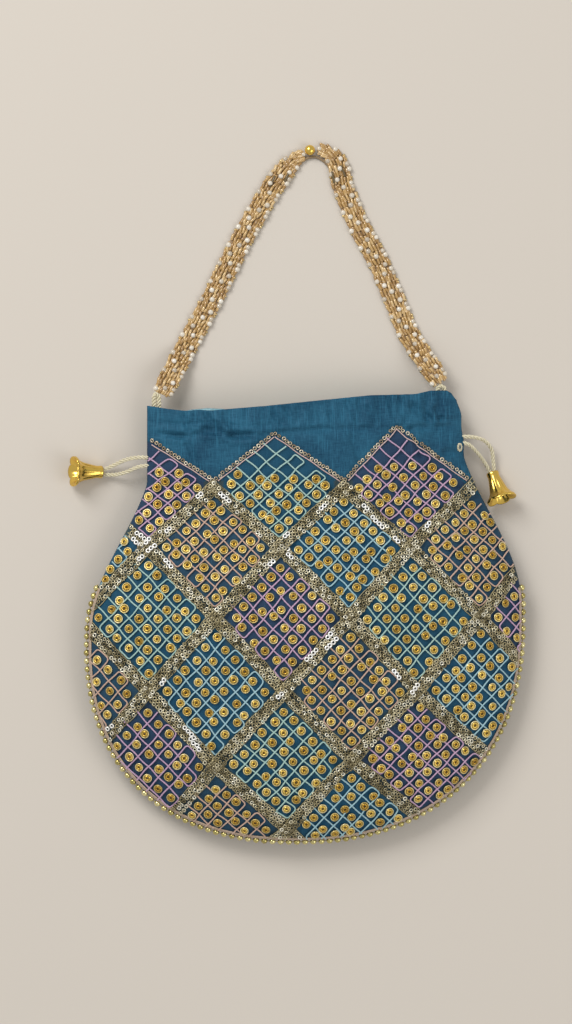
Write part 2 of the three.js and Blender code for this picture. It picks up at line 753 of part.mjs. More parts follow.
// A flower bell: a short tube that widens into a curled rim with rounded petals.
function bellGeometry() {
  const neck = BELL_NECK_DIAMETER / 2;
  const waist = BELL_WAIST_DIAMETER / 2;
  const rim = BELL_RIM_DIAMETER / 2;
  const hole = BELL_HOLE_DIAMETER / 2;
  const profile = [
    [hole, 0],
    [neck, 0],
    [neck * 0.9, 0.12 * BELL_LENGTH],
    [lerp(neck, waist, 0.55), 0.4 * BELL_LENGTH],
    [waist, 0.64 * BELL_LENGTH],
    [lerp(waist, rim, 0.6), 0.82 * BELL_LENGTH],
    [rim, BELL_LENGTH],
    [rim - BELL_WALL, BELL_LENGTH],
    [lerp(waist, rim, 0.5) - BELL_WALL, 0.85 * BELL_LENGTH],
    [waist - BELL_WALL, 0.67 * BELL_LENGTH],
    [hole, 0.14 * BELL_LENGTH],
    [hole, 0],
  ];
  const bell = new THREE.LatheGeometry(
    profile.map(([r, y]) => new THREE.Vector2(r, y)),
    BELL_SIDES,
  );
  const spots = bell.attributes.position;
  for (let i = 0; i < spots.count; i += 1) {
    const along = spots.getY(i);
    const turn = Math.atan2(spots.getZ(i), spots.getX(i));
    const flare = smooth(along, 0.7 * BELL_LENGTH, BELL_LENGTH);
    const dip = (BELL_SCALLOP * flare * (1 - Math.cos(BELL_PETALS * turn))) / 2;
    spots.setY(i, along - dip);
  }
  return bell;
}

// Turns a piece made along +Y onto a bell's axis.
function onBellAxis(mesh, bell, along) {
  const ahead = new THREE.Vector3(...bell.ahead).normalize();
  mesh.quaternion.setFromUnitVectors(new THREE.Vector3(0, 1, 0), ahead);
  mesh.position.set(...bell.neck).addScaledVector(ahead, along);
}

function knotGeometry() {
  const radius = KNOT_DIAMETER / 2;
  const knot = new THREE.SphereGeometry(radius, 10, 6);
  return knot.scale(0.9, 0.75, 0.9);
}

// The draw cords. Each runs from its bell in at one side, round through the casing and back to the same bell.
const LEFT_CORD_ROUTE = [
  [-104.2, 81.1, 4.3],
  [-101.8, 81.1, 3.6],
  [-99.5, 81.6, 3.2],
  [-96, 83.3, 3.9],
  [-90, 86.1, 7.6],
  [-84, 87.2, 10.3],
  [-78, 87, 11],
  [-75, 86.9, 11.2],
  [-72, 86.8, 12.1],
  [-67, 86.9, 13.7],
  [-56, 87.3, 15.5],
  [-38, 88, 17.5],
  [-18, 88.7, 18.5],
  [2, 89.5, 18.7],
  [22, 90.3, 18.4],
  [40, 91, 17.3],
  [54, 91.6, 15.8],
  [63, 92, 14.4],
  [69, 91.9, 13.2],
  [72.8, 91.3, 12],
  [74, 90, 11],
  [72.8, 88.7, 10],
  [69, 88.1, 8.6],
  [63, 87.9, 7.4],
  [54, 87.6, 6.2],
  [40, 87.1, 4.7],
  [22, 86.5, 3.6],
  [2, 85.9, 3.3],
  [-18, 85.2, 3.5],
  [-38, 84.5, 4.5],
  [-56, 83.9, 6.5],
  [-67, 83.5, 8.3],
  [-72, 83.4, 9.9],
  [-75, 83.4, 10.8],
  [-78, 83.3, 11],
  [-84, 82.4, 10],
  [-90, 79.9, 7.2],
  [-95, 78.7, 4.2],
  [-98.6, 78.6, 3.2],
  [-101.8, 78.85, 3.6],
  [-104.2, 78.9, 4.3],
];
const RIGHT_CORD_ROUTE = [
  [94.4, 77.25, 4.3],
  [93.7, 79.45, 3.6],
  [92.6, 82.3, 3.3],
  [89.8, 86.3, 4.9],
  [86, 90.4, 8.2],
  [82, 93.8, 10.4],
  [77.5, 95.1, 11],
  [74.5, 95.15, 11.3],
  [71.5, 95.2, 12.2],
  [67, 95, 13.7],
  [56, 94.6, 15.6],
  [38, 94, 17.4],
  [18, 93.4, 18.4],
  [-2, 92.8, 18.6],
  [-22, 92.2, 18.3],
  [-40, 91.6, 17.3],
  [-54, 91.2, 15.8],
  [-63, 91, 14.4],
  [-69, 91.1, 13.2],
  [-72.8, 91.7, 12],
  [-74, 93, 11],
  [-72.8, 94.3, 10],
  [-69, 94.9, 8.8],
  [-63, 95.1, 7.6],
  [-54, 95.3, 6.2],
  [-40, 95.6, 4.7],
  [-22, 96, 3.6],
  [-2, 96.4, 3.3],
  [18, 96.8, 3.6],
  [38, 97.2, 4.6],
  [56, 97.5, 6.3],
  [67, 97.7, 8.3],
  [71.5, 97.8, 9.8],
  [74.5, 97.8, 10.7],
  [78, 97.8, 10.9],
  [84, 97.6, 10.1],
  [90.3, 95.8, 7.2],
  [94.3, 91.5, 4.4],
  [95.4, 85.5, 3.1],
  [95.9, 80.15, 3.6],
  [96.5, 78, 4.3],
];
const CORD_STEP = 3 * CORD_DIAMETER;

// The assembly

const bag = new THREE.Group();
const colours = {
  silk: { color: 0x1e556e, roughness: 0.55, metalness: 0 },
  lining: { color: 0x8fc4d0, roughness: 0.6, metalness: 0 },
  cord: { color: 0xe3ddb8, roughness: 0.7, metalness: 0 },
  gold: { color: 0xc9a227, roughness: 0.3, metalness: 1 },
  trim: { color: 0xa8924a, roughness: 0.35, metalness: 1 },
  sequin: { color: 0xb5aa8c, roughness: 0.35, metalness: 0.8 },
  beads: { color: 0xd8b483, roughness: 0.3, metalness: 0 },
  mauve: { color: 0xa57fa8, roughness: 0.6, metalness: 0 },
  mint: { color: 0x7fb3a0, roughness: 0.6, metalness: 0 },
  sky: { color: 0x6fa9bd, roughness: 0.6, metalness: 0 },
  copper: { color: 0xa98a86, roughness: 0.6, metalness: 0 },
};

function addPiece(name, geometry, colour) {
  const mesh = new THREE.Mesh(geometry, new THREE.MeshStandardMaterial(colours[colour]));
  mesh.name = name;
  bag.add(mesh);
  return mesh;
}

addPiece("front_panel", silkPanel(1, FINE_LEVELS, 16), "silk");
addPiece("back_panel", silkPanel(-1, COARSE_LEVELS, 10), "silk");
addPiece("lining_front", liningPanel(1), "lining");
addPiece("lining_back", liningPanel(-1), "lining");

// Each falling band runs down to the right and each rising one down to the left, through these crossings.
const FALLING_BANDS = [
  { line: 1, step: -1, count: 5 },
  { line: 1, step: 1, count: 4 },
  { line: 1, step: -3, count: 7 },
  { line: 3, step: -3, count: 5 },
];
const RISING_BANDS = [
  { line: 1, step: -1, count: 3 },
  { line: 1, step: 1, count: 6 },
  { line: 0, step: 4, count: 7 },
  { line: 2, step: 4, count: 6 },
];
function bandStops({ line, step, count }, turn) {
  return Array.from({ length: count }, (_, k) => crossing(line + k, step + turn * k));
}
FALLING_BANDS.forEach((band, i) => {
  addPiece(`sequin_band_falling_${i + 1}`, sequinBand(bandStops(band, 1), false), "sequin");
});
RISING_BANDS.forEach((band, i) => {
  addPiece(`sequin_band_rising_${i + 1}`, sequinBand(bandStops(band, -1), true), "sequin");
});
addPiece("sequin_zigzag_border", zigzagBorder(), "sequin");

// Tiles row by row, from the top. Even rows alternate mint and mauve, odd rows copper and sky.
const TILE_ROWS = [
  [-2, 0, 2],
  [-3, -1, 1, 3],
  [-2, 0, 2, 4],
  [-3, -1, 1, 3],
  [-2, 0, 2],
  [-1, 1],
];
const TILE_THREADS = [
  ["mint", "mauve"],
  ["copper", "sky"],
];
const BARE_TOP_ROWS = 3; // the top tiles' upper cells have no studs
TILE_ROWS.forEach((steps, line) => {
  steps.forEach((step, i) => {
    const second = Math.abs((step + line) / 2) % 2 === 1;
    const thread = TILE_THREADS[line % 2][second ? 1 : 0];
    const bare = line === 0 ? BARE_TOP_ROWS : 0;
    addPiece(`tile_${thread}_${line + 1}_${i + 1}`, tileLattice(line, step, bare), thread);
  });
});

addPiece("edge_bead_trim", edgeTrim(), "trim");
addPiece("handle_loop_left", handleLoop(-1), "cord");
addPiece("handle_loop_right", handleLoop(1), "cord");
addPiece("beaded_strap_left", beadedStrap(-1, LEFT_BOW), "beads");
addPiece("beaded_strap_right", beadedStrap(1, RIGHT_BOW), "beads");
const crownBead = addPiece("crown_bead", new THREE.SphereGeometry(CROWN_BEAD_DIAMETER / 2, 10, 6), "gold");
crownBead.position.set(crown.x, crown.y, CROWN_BEAD_DIAMETER / 2);

for (const [side, bell, route] of [
  ["left", LEFT_BELL, LEFT_CORD_ROUTE],
  ["right", RIGHT_BELL, RIGHT_CORD_ROUTE],
]) {
  addPiece(`draw_cord_${side}`, cordAlong(route, CORD_DIAMETER, CORD_STEP), "cord");
  onBellAxis(addPiece(`bell_${side}`, bellGeometry(), "gold"), bell, 0);
  onBellAxis(addPiece(`cord_knot_${side}`, knotGeometry(), "cord"), bell, KNOT_DEPTH + (KNOT_DIAMETER * 0.75) / 2);
}

export default bag;
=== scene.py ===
# A potli: a round drawstring evening bag of slub silk, embroidered in diamonds and lying on its back.
# Metres, X to the bag's right seen from the front, Y up to the mouth, Z out of the embroidered front.
import math
import random

import bmesh
import bpy
import numpy as np
from mathutils import Matrix, Vector


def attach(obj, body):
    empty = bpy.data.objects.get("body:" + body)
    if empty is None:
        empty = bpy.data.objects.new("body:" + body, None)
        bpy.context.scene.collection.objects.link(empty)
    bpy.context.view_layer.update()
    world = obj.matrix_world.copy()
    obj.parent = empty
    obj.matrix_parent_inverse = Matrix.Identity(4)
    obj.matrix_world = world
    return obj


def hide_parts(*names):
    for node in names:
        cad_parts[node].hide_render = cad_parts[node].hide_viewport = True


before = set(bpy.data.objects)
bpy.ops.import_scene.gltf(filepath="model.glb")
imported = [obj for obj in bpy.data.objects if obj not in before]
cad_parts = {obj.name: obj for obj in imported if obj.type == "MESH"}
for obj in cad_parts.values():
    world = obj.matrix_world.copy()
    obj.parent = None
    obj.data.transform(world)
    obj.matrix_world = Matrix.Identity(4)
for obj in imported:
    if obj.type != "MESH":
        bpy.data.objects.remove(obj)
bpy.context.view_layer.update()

# The view: the bag is seen from above, with the camera turned a few degrees to its left.
# The photograph takes in about 286 by 512 mm.
VIEW_CENTRE = Vector((-0.010, 0.060, 0.011))
VIEW_HEIGHT = 0.512
VIEW_DISTANCE = 2.0
VIEW_TURN = math.radians(4.5)

camera_data = bpy.data.cameras.new("camera")
camera_data.sensor_fit = "VERTICAL"
camera_data.sensor_height = 36
camera_data.lens = camera_data.sensor_height / VIEW_HEIGHT * VIEW_DISTANCE
camera_data.clip_start = 0.1
camera_data.clip_end = 20
camera = bpy.data.objects.new("camera", camera_data)
camera.location = VIEW_CENTRE + VIEW_DISTANCE * Vector((-math.sin(VIEW_TURN), 0, math.cos(VIEW_TURN)))
camera.rotation_euler = (0, -VIEW_TURN, 0)
bpy.context.scene.collection.objects.link(camera)
bpy.context.scene.camera = camera


# The draw cords: three strands of cream cotton twisted together, one endless loop at each side.
# Each comes out of a slit in the casing, lies down to the floor and ends in the knot of its bell.
MM = 0.001
STRAND_RADIUS = 0.51
STRAND_OFFSET = 0.59
CORD_TURN = 6.2
STRANDS = 3
STRAND_SIDES = 8
CORD_CREAM = (0.84, 0.78, 0.58)
CORD_SHADE = (0.56, 0.50, 0.33)
DRAW_CORDS = {
    "left": {
        "exit": (-79.5, 85, 11),
        "route": [
            (-104.2, 81.1, 4.3), (-101.8, 81.1, 3.6), (-99.5, 81.6, 3.2), (-96, 83.3, 3.9),
            (-90, 86.1, 7.6), (-84, 87.2, 10.3), (-78, 87, 11), (-75, 86.9, 11.2), (-72, 86.8, 12.1),
            (-67, 86.9, 13.7), (-56, 87.3, 15.5), (-38, 88, 17.5), (-18, 88.7, 18.5), (2, 89.5, 18.7),
            (22, 90.3, 18.4), (40, 91, 17.3), (54, 91.6, 15.8), (63, 92, 14.4), (69, 91.9, 13.2),
            (72.8, 91.3, 12), (74, 90, 11), (72.8, 88.7, 10), (69, 88.1, 8.6), (63, 87.9, 7.4),
            (54, 87.6, 6.2), (40, 87.1, 4.7), (22, 86.5, 3.6), (2, 85.9, 3.3), (-18, 85.2, 3.5),
            (-38, 84.5, 4.5), (-56, 83.9, 6.5), (-67, 83.5, 8.3), (-72, 83.4, 9.9), (-75, 83.4, 10.8),
            (-78, 83.3, 11), (-84, 82.4, 10), (-90, 79.9, 7.2), (-95, 78.7, 4.2), (-98.6, 78.6, 3.2),
            (-101.8, 78.85, 3.6), (-104.2, 78.9, 4.3),
        ],
    },
    "right": {
        "exit": (79.5, 96, 11),
        "route": [
            (94.4, 77.25, 4.3), (93.7, 79.45, 3.6), (92.6, 82.3, 3.3), (89.8, 86.3, 4.9), (86, 90.4, 8.2),
            (82, 93.8, 10.4), (77.5, 95.1, 11), (74.5, 95.15, 11.3), (71.5, 95.2, 12.2), (67, 95, 13.7),
            (56, 94.6, 15.6), (38, 94, 17.4), (18, 93.4, 18.4), (-2, 92.8, 18.6), (-22, 92.2, 18.3),
            (-40, 91.6, 17.3), (-54, 91.2, 15.8), (-63, 91, 14.4), (-69, 91.1, 13.2), (-72.8, 91.7, 12),
            (-74, 93, 11), (-72.8, 94.3, 10), (-69, 94.9, 8.8), (-63, 95.1, 7.6), (-54, 95.3, 6.2),
            (-40, 95.6, 4.7), (-22, 96, 3.6), (-2, 96.4, 3.3), (18, 96.8, 3.6), (38, 97.2, 4.6),
            (56, 97.5, 6.3), (67, 97.7, 8.3), (71.5, 97.8, 9.8), (74.5, 97.8, 10.7), (78, 97.8, 10.9),
            (84, 97.6, 10.1), (90.3, 95.8, 7.2), (94.3, 91.5, 4.4), (95.4, 85.5, 3.1), (95.9, 80.15, 3.6),
            (96.5, 78, 4.3),
        ],
    },
}


def smooth_path(points, step):
    """Points at even steps along one smooth curve through the given ones."""
    stops = [Vector(p) for p in points]
    stops = [2 * stops[0] - stops[1], *stops, 2 * stops[-1] - stops[-2]]
    line = []
    for before, start, end, after in zip(stops, stops[1:], stops[2:], stops[3:]):
        t1 = max((start - before).length ** 0.5, 1e-9)
        t2 = t1 + max((end - start).length ** 0.5, 1e-9)
        t3 = t2 + max((after - end).length ** 0.5, 1e-9)
        for k in range(24):
            t = t1 + (t2 - t1) * k / 24
            a = before.lerp(start, t / t1)
            b = start.lerp(end, (t - t1) / (t2 - t1))
            c = end.lerp(after, (t - t2) / (t3 - t2))
            line.append(a.lerp(b, t / t2).lerp(b.lerp(c, (t - t1) / (t3 - t1)), (t - t1) / (t2 - t1)))
    line.append(stops[-2])
    return even_steps(line, step)


def even_steps(line, step):
    """A line of points walked again at even steps of about the given length."""
    places = np.array([tuple(p) for p in line])
    marks = np.concatenate([[0], np.cumsum(np.linalg.norm(np.diff(places, axis=0), axis=1))])
    count = max(2, round(marks[-1] / step))
    along = np.linspace(0, marks[-1], count + 1)
    return np.stack([np.interp(along, marks, places[:, k]) for k in range(3)], axis=1)


def length_of(line):
    return float(np.linalg.norm(np.diff(line, axis=0), axis=1).sum())


def in_metres(points):
    return [Vector(p) * MM for p in points]


def placed(name, points, edges=(), faces=()):
    """A new object of points, edges and faces, put in the scene."""
    mesh = bpy.data.meshes.new(name)
    mesh.from_pydata([tuple(p) for p in points], edges, faces)
    made = bpy.data.objects.new(name, mesh)
    bpy.context.scene.collection.objects.link(made)
    return made


def lines_object(name, lines, closed=False):
    """Polylines as one mesh of edges, the start of every thread, cord and wire."""
    points = []
    edges = []
    for line in lines:
        first = len(points)
        points.extend(line)
        edges.extend((first + k, first + k + 1) for k in range(len(line) - 1))
        if closed:
            edges.append((first + len(line) - 1, first))
    return placed(name, points, edges)


def new_tree(name, inputs):
    """A geometry tree with the named inputs, and its input and output nodes."""
    tree = bpy.data.node_groups.new(name, "GeometryNodeTree")
    tree.interface.new_socket("Geometry", in_out="INPUT", socket_type="NodeSocketGeometry")
    for label, kind, value in inputs:
        socket = tree.interface.new_socket(label, in_out="INPUT", socket_type="NodeSocket" + kind)
        if value is not None:
            socket.default_value = value
    tree.interface.new_socket("Geometry", in_out="OUTPUT", socket_type="NodeSocketGeometry")
    return tree, tree.nodes.new("NodeGroupInput"), tree.nodes.new("NodeGroupOutput")


def node(tree, kind, **settings):
    """A node with its properties set, and its inputs where a number or link is given by name or place."""
    made = tree.nodes.new(kind)
    sockets = settings.pop("inputs", {})
    for key, value in settings.items():
        setattr(made, key, value)
    for key, value in sockets.items():
        if isinstance(value, bpy.types.NodeSocket):
            tree.links.new(value, made.inputs[key])
        else:
            made.inputs[key].default_value = value
    return made


def reckon(tree, operation, *values, **settings):
    """The result of a sum on numbers and links."""
    made = node(tree, "ShaderNodeMath", operation=operation, inputs=dict(enumerate(values)), **settings)
    return made.outputs[0]


def stored(tree, geometry, label, value, domain="POINT"):
    """The geometry with a number kept under a name, for its material to read."""
    return node(tree, "GeometryNodeStoreNamedAttribute", data_type="FLOAT", domain=domain,
                inputs={"Geometry": geometry, "Name": label, "Value": value}).outputs[0]


def marked_ring(tree, sides, radius):
    """The round section of a strand, which keeps how far round each of its points is."""
    ring = node(tree, "GeometryNodeCurvePrimitiveCircle", inputs={"Resolution": sides, "Radius": radius})
    return stored(tree, ring.outputs[0], "round", node(tree, "GeometryNodeSplineParameter").outputs["Factor"])


def close_tree(tree, geometry, start, end):
    """The end of every tree: its instances made real and given the material."""
    real = node(tree, "GeometryNodeRealizeInstances", inputs={0: geometry})
    dressed = node(tree, "GeometryNodeSetMaterial",
                   inputs={"Geometry": real.outputs[0], "Material": start.outputs["Material"]})
    tree.links.new(dressed.outputs[0], end.inputs[0])
    return tree


def grown(source, tree, values):
    """The plain mesh that a geometry tree makes of an object, which it replaces."""
    modifier = source.modifiers.new("grow", "NODES")
    modifier.node_group = tree
    for item in tree.interface.items_tree:
        if item.in_out == "INPUT" and item.name in values:
            modifier[item.identifier] = values[item.name]
    graph = bpy.context.evaluated_depsgraph_get()
    seen = source.evaluated_get(graph)
    mesh = bpy.data.meshes.new_from_object(seen, preserve_all_data_layers=True, depsgraph=graph)
    source.modifiers.remove(modifier)
    source.data = mesh
    mesh.name = source.name
    mesh.polygons.foreach_set("use_smooth", [True] * len(mesh.polygons))
    return source


def twisted_cord_tree():
    """Three strands side by side, turned along the cord's line, each strand one tube."""
    tree, start, end = new_tree(
        "twisted cord",
        [("Strand radius", "Float", None), ("Strand offset", "Float", None), ("Turn", "Float", None),
         ("Material", "Material", None)],
    )
    curve = node(tree, "GeometryNodeMeshToCurve", inputs={"Mesh": start.outputs["Geometry"]})
    walked = node(tree, "GeometryNodeSplineParameter").outputs["Length"]
    turns = reckon(tree, "DIVIDE", walked, start.outputs["Turn"])
    tilt = node(tree, "GeometryNodeSetCurveTilt",
                inputs={"Curve": curve.outputs[0], "Tilt": reckon(tree, "MULTIPLY", turns, math.tau)})
    ring = marked_ring(tree, STRAND_SIDES, start.outputs["Strand radius"])
    strands = node(tree, "GeometryNodeJoinGeometry")
    for k in range(STRANDS):
        turn = math.tau * k / STRANDS
        away = node(tree, "ShaderNodeVectorMath", operation="SCALE",
                    inputs={0: (math.cos(turn), math.sin(turn), 0), "Scale": start.outputs["Strand offset"]})
        moved = node(tree, "GeometryNodeTransform", inputs={"Geometry": ring, "Translation": away.outputs[0]})
        tree.links.new(moved.outputs[0], strands.inputs[0])
    body = node(tree, "GeometryNodeCurveToMesh",
                inputs={"Curve": stored(tree, tilt.outputs[0], "along", walked),
                        "Profile Curve": strands.outputs[0], "Fill Caps": True})
    return close_tree(tree, body.outputs[0], start, end)


def surface(name, colour, roughness, **sockets):
    """A material with its plain values on the shader's own sockets."""
    made = bpy.data.materials.new(name)
    made.use_nodes = True
    shader = made.node_tree.nodes["Principled BSDF"]
    shader.inputs["Base Color"].default_value = (*colour, 1)
    shader.inputs["Roughness"].default_value = roughness
    for key, value in sockets.items():
        shader.inputs[key.replace("_", " ").title().replace("Ior", "IOR")].default_value = value
    return made, made.node_tree, shader


def new_effect(name, inputs, outputs):
    """A shader node group with named inputs and outputs."""
    tree = bpy.data.node_groups.new(name, "ShaderNodeTree")
    for label, kind, value in inputs:
        socket = tree.interface.new_socket(label, in_out="INPUT", socket_type="NodeSocket" + kind)
        if value is not None:
            socket.default_value = value
    for label, kind in outputs:
        tree.interface.new_socket(label, in_out="OUTPUT", socket_type="NodeSocket" + kind)
    return tree, tree.nodes.new("NodeGroupInput"), tree.nodes.new("NodeGroupOutput")


def noise(tree, place, scale, detail):
    return node(tree, "ShaderNodeTexNoise",
                inputs={"Vector": place, "Scale": scale, "Detail": detail}).outputs["Fac"]


def spread(tree, value, low, high, to_low=0.0, to_high=1.0):
    """A value that goes from one number to another while its source goes from low to high."""
    made = node(tree, "ShaderNodeMapRange", inputs={0: value, 1: low, 2: high, 3: to_low, 4: to_high})
    return made.outputs[0]


def mixed(tree, share, first, second, **settings):
    """The first colour passing into the second by a share."""
    return node(tree, "ShaderNodeMix", data_type="RGBA", inputs={0: share, 6: first, 7: second},
                **settings).outputs[2]


def spun_fibre_effect():
    """The fine slanting fibres of a spun strand, from its length and its round."""
    tree, start, end = new_effect(
        "spun fibre",
        [("Light", "Color", (1, 1, 1, 1)), ("Shade", "Color", (0, 0, 0, 1)), ("Fibres", "Float", 900.0)],
        [("Color", "Color"), ("Height", "Float")],
    )
    along = node(tree, "ShaderNodeAttribute", attribute_name="along").outputs["Fac"]
    turn = node(tree, "ShaderNodeAttribute", attribute_name="round").outputs["Fac"]
    slant = reckon(tree, "MULTIPLY", along, start.outputs["Fibres"])
    wound = reckon(tree, "MULTIPLY_ADD", turn, 4.0, slant)
    place = node(tree, "ShaderNodeCombineXYZ", inputs={"X": wound, "Y": turn})
    fibres = spread(tree, noise(tree, place.outputs[0], 2.6, 3.0), 0.3, 0.7)
    tree.links.new(mixed(tree, fibres, start.outputs["Shade"], start.outputs["Light"]), end.inputs["Color"])
    tree.links.new(fibres, end.inputs["Height"])
    return tree


SPUN_FIBRE = spun_fibre_effect()


def spun(name, light, shade, fibres, depth, roughness=0.75, **sockets):
    """A thread or cord material of spun fibre."""
    made, tree, shader = surface(name, light, roughness, **sockets)
    fibre = node(tree, "ShaderNodeGroup", node_tree=SPUN_FIBRE,
                 inputs={"Light": (*light, 1), "Shade": (*shade, 1), "Fibres": fibres})
    bump = node(tree, "ShaderNodeBump",
                inputs={"Height": fibre.outputs["Height"], "Strength": 0.5, "Distance": depth})
    tree.links.new(fibre.outputs["Color"], shader.inputs["Base Color"])
    tree.links.new(bump.outputs[0], shader.inputs["Normal"])
    return made


cream_cotton = spun("cream cotton", CORD_CREAM, CORD_SHADE, 900.0, 0.1 * MM, sheen_weight=0.2)
TWISTED_CORD = twisted_cord_tree()


def twisted(name, line, strand, offset, turn, closed=False):
    """A twisted cord of cream cotton along a line, with its sizes in millimetres."""
    return grown(
        lines_object(name, [line], closed), TWISTED_CORD,
        {"Strand radius": strand * MM, "Strand offset": offset * MM, "Turn": turn * MM,
         "Material": cream_cotton},
    )


for side, about in DRAW_CORDS.items():
    line = smooth_path(in_metres(about["route"]), 0.6 * MM)
    cord = twisted(f"draw_cord_{side}_twisted", line, STRAND_RADIUS, STRAND_OFFSET, CORD_TURN)
    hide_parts(f"draw_cord_{side}")
    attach(cord, "root")


# The eyelet: a small ring worked by hand from a finer twist of the same cotton.
# It lies on the front beside the slit at the right, next to where the cord comes out.
EYELET_CENTRE = (77.2, 92.4, 12.9)
EYELET_REACH = (0.9, 1.7, -0.7)
eyelet_line = in_metres(
    [c + reach * wave for c, reach, wave in
     zip(EYELET_CENTRE, EYELET_REACH, (math.sin(t), math.cos(t), math.sin(t)))]
    for t in np.linspace(0, math.tau, 25)[:-1])
eyelet = twisted("eyelet_right", eyelet_line, 0.3, 0.34, 3.0, closed=True)
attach(eyelet, "root")


# The silk: front and back panels of dark teal slub silk, joined in a seam round the belly.
# The casing of the draw cords gathers the neck, and the header above it stands in small pleats.
BELLY_HALF_WIDTH = 108.5
BELLY_DROP = 104
BELLY_FULLNESS = 2.28
SEAM_HEIGHT = 11
MOUTH = {1: (117.2, 0.049), -1: (116.9, 0.02)}
# How far the mouth's edge hangs under its straight line, at places across it.
MOUTH_DIP = {
    1: ([-79.5, -74.5, -69.5, -60.5, -54.5, -48, -43, -21.5, 7, 31, 54.5, 62, 70.5, 73, 74.6, 75.6],
        [-0.3, -1.3, -2.45, -3.9, -3.6, -4.4, -4.1, -3.4, -1.8, -0.5, -0.9, 0.5, 0.25, -1.2, -3.4, -4.6]),
    -1: ([-79.5, -69.5, -60.5, -57, -49, -41, -37, -21.5, 7, 31, 54.5, 70.5, 73, 75.6],
         [-2.6, -4.8, -5.2, -4.5, -3.9, -4.4, -5.0, -4.3, -1.8, 0.1, 0.4, 1.4, -0.6, -3.6]),
}
# The sharper folds of the front, each from one place to another, with its depth and width.
FOLDS = [
    (-21, 113, -13, 104, 0.9, 1.0), (-12, 114, -6, 104.5, 0.8, 0.9), (-3, 115, 3, 105.5, 0.8, 0.9),
    (40, 118.5, 44, 106, 0.8, 0.9), (47.5, 119, 49.5, 105, 1.0, 1.0), (53, 112.5, 62, 106.5, 1.1, 1.7),
    (64.5, 111.5, 67, 107, 1.0, 1.4), (67, 107, 77.5, 105.5, 0.8, 0.9), (70, 90, 79, 90, 1.2, 1.4),
    (-51, 101.5, -44, 101, 1.3, 1.7), (-37, 98.5, -29, 98.5, 1.2, 1.7), (-74, 99, -62, 97.5, 1.0, 1.2),
    (-52, 110, -46, 103, 0.8, 1.2), (-62, 108, -59, 101, 0.6, 1.1), (-42, 108, -37, 101, 0.6, 1.0),
    (8, 114, 14, 104, 0.6, 1.0), (20, 115, 25, 105, 0.7, 1.1), (30, 112, 34, 104, 0.7, 1.0),
    (-60, 96, -56, 86, 0.6, 1.2), (22, 98, 26, 86, 0.6, 1.2), (52, 101, 57, 88, 0.7, 1.2),
]
# The crease over the casing, at places across the bag.
CREASE_LINE = ([-78, -60, -48, -33, -18, 7, 37, 60, 76],
               [98.4, 98.0, 99.6, 97.6, 98.9, 101.2, 101.6, 102.4, 103.5])
CREASE_DEPTH = 1.7
FOLD_SHARPNESS = 1.5
NECK_HALF_WIDTH = 79.5
NECK_DEPTH = 10.5
NECK_FOOT = 78
CASING_FOOT = 81.5
CASING_TOP = 99.5
DOME = {1: 22, -1: 14}
SILK_DARK = (0.003, 0.036, 0.078)
SILK_LIGHT = (0.022, 0.122, 0.205)


def smooth(value, start, end):
    t = np.clip((value - start) / (end - start), 0, 1)
    return t * t * (3 - 2 * t)


def seam_x(side, y, inset=0.0):
    """Where the bag's edge is at a height, in millimetres, left (-1) or right (1)."""
    y = np.asarray(y, dtype=float)
    low = side * (BELLY_HALF_WIDTH - inset) * np.clip(
        1 - np.abs(y / (BELLY_DROP - inset)) ** BELLY_FULLNESS, 0, 1) ** (1 / BELLY_FULLNESS) + 0.037 * y
    top, foot = (74, 0) if side < 0 else (88, 15)
    t = np.clip((top - y) / (top - foot), 0, 1)
    swell = (np.sin(t * np.pi / 2) + t * t * (3 - 2 * t)) / 2
    corner = 1.2 * smooth(y, 95, 103) + 2.8 * smooth(y, 108, 118) if side > 0 else 0
    high = side * (NECK_HALF_WIDTH + 29 * swell - inset - corner)
    return np.where(y < 0, low, high)


def stand_off(dome, y, depth):
    """How far a skin stands off the seam's plane at the middle of the bag, at each height."""
    belly = dome - depth
    neck = NECK_DEPTH - depth
    low = belly * np.clip(1 - np.abs(y / (BELLY_DROP - 2 * depth)) ** BELLY_FULLNESS, 0, 1) ** 0.62
    middle = neck + (belly - neck) * (1 + np.cos(np.pi * np.clip(y, 0, NECK_FOOT) / NECK_FOOT)) / 2
    high = neck + (9 - depth - neck) * smooth(y, CASING_TOP, 117.2)
    return np.where(y < 0, low, np.where(y < NECK_FOOT, middle, high))


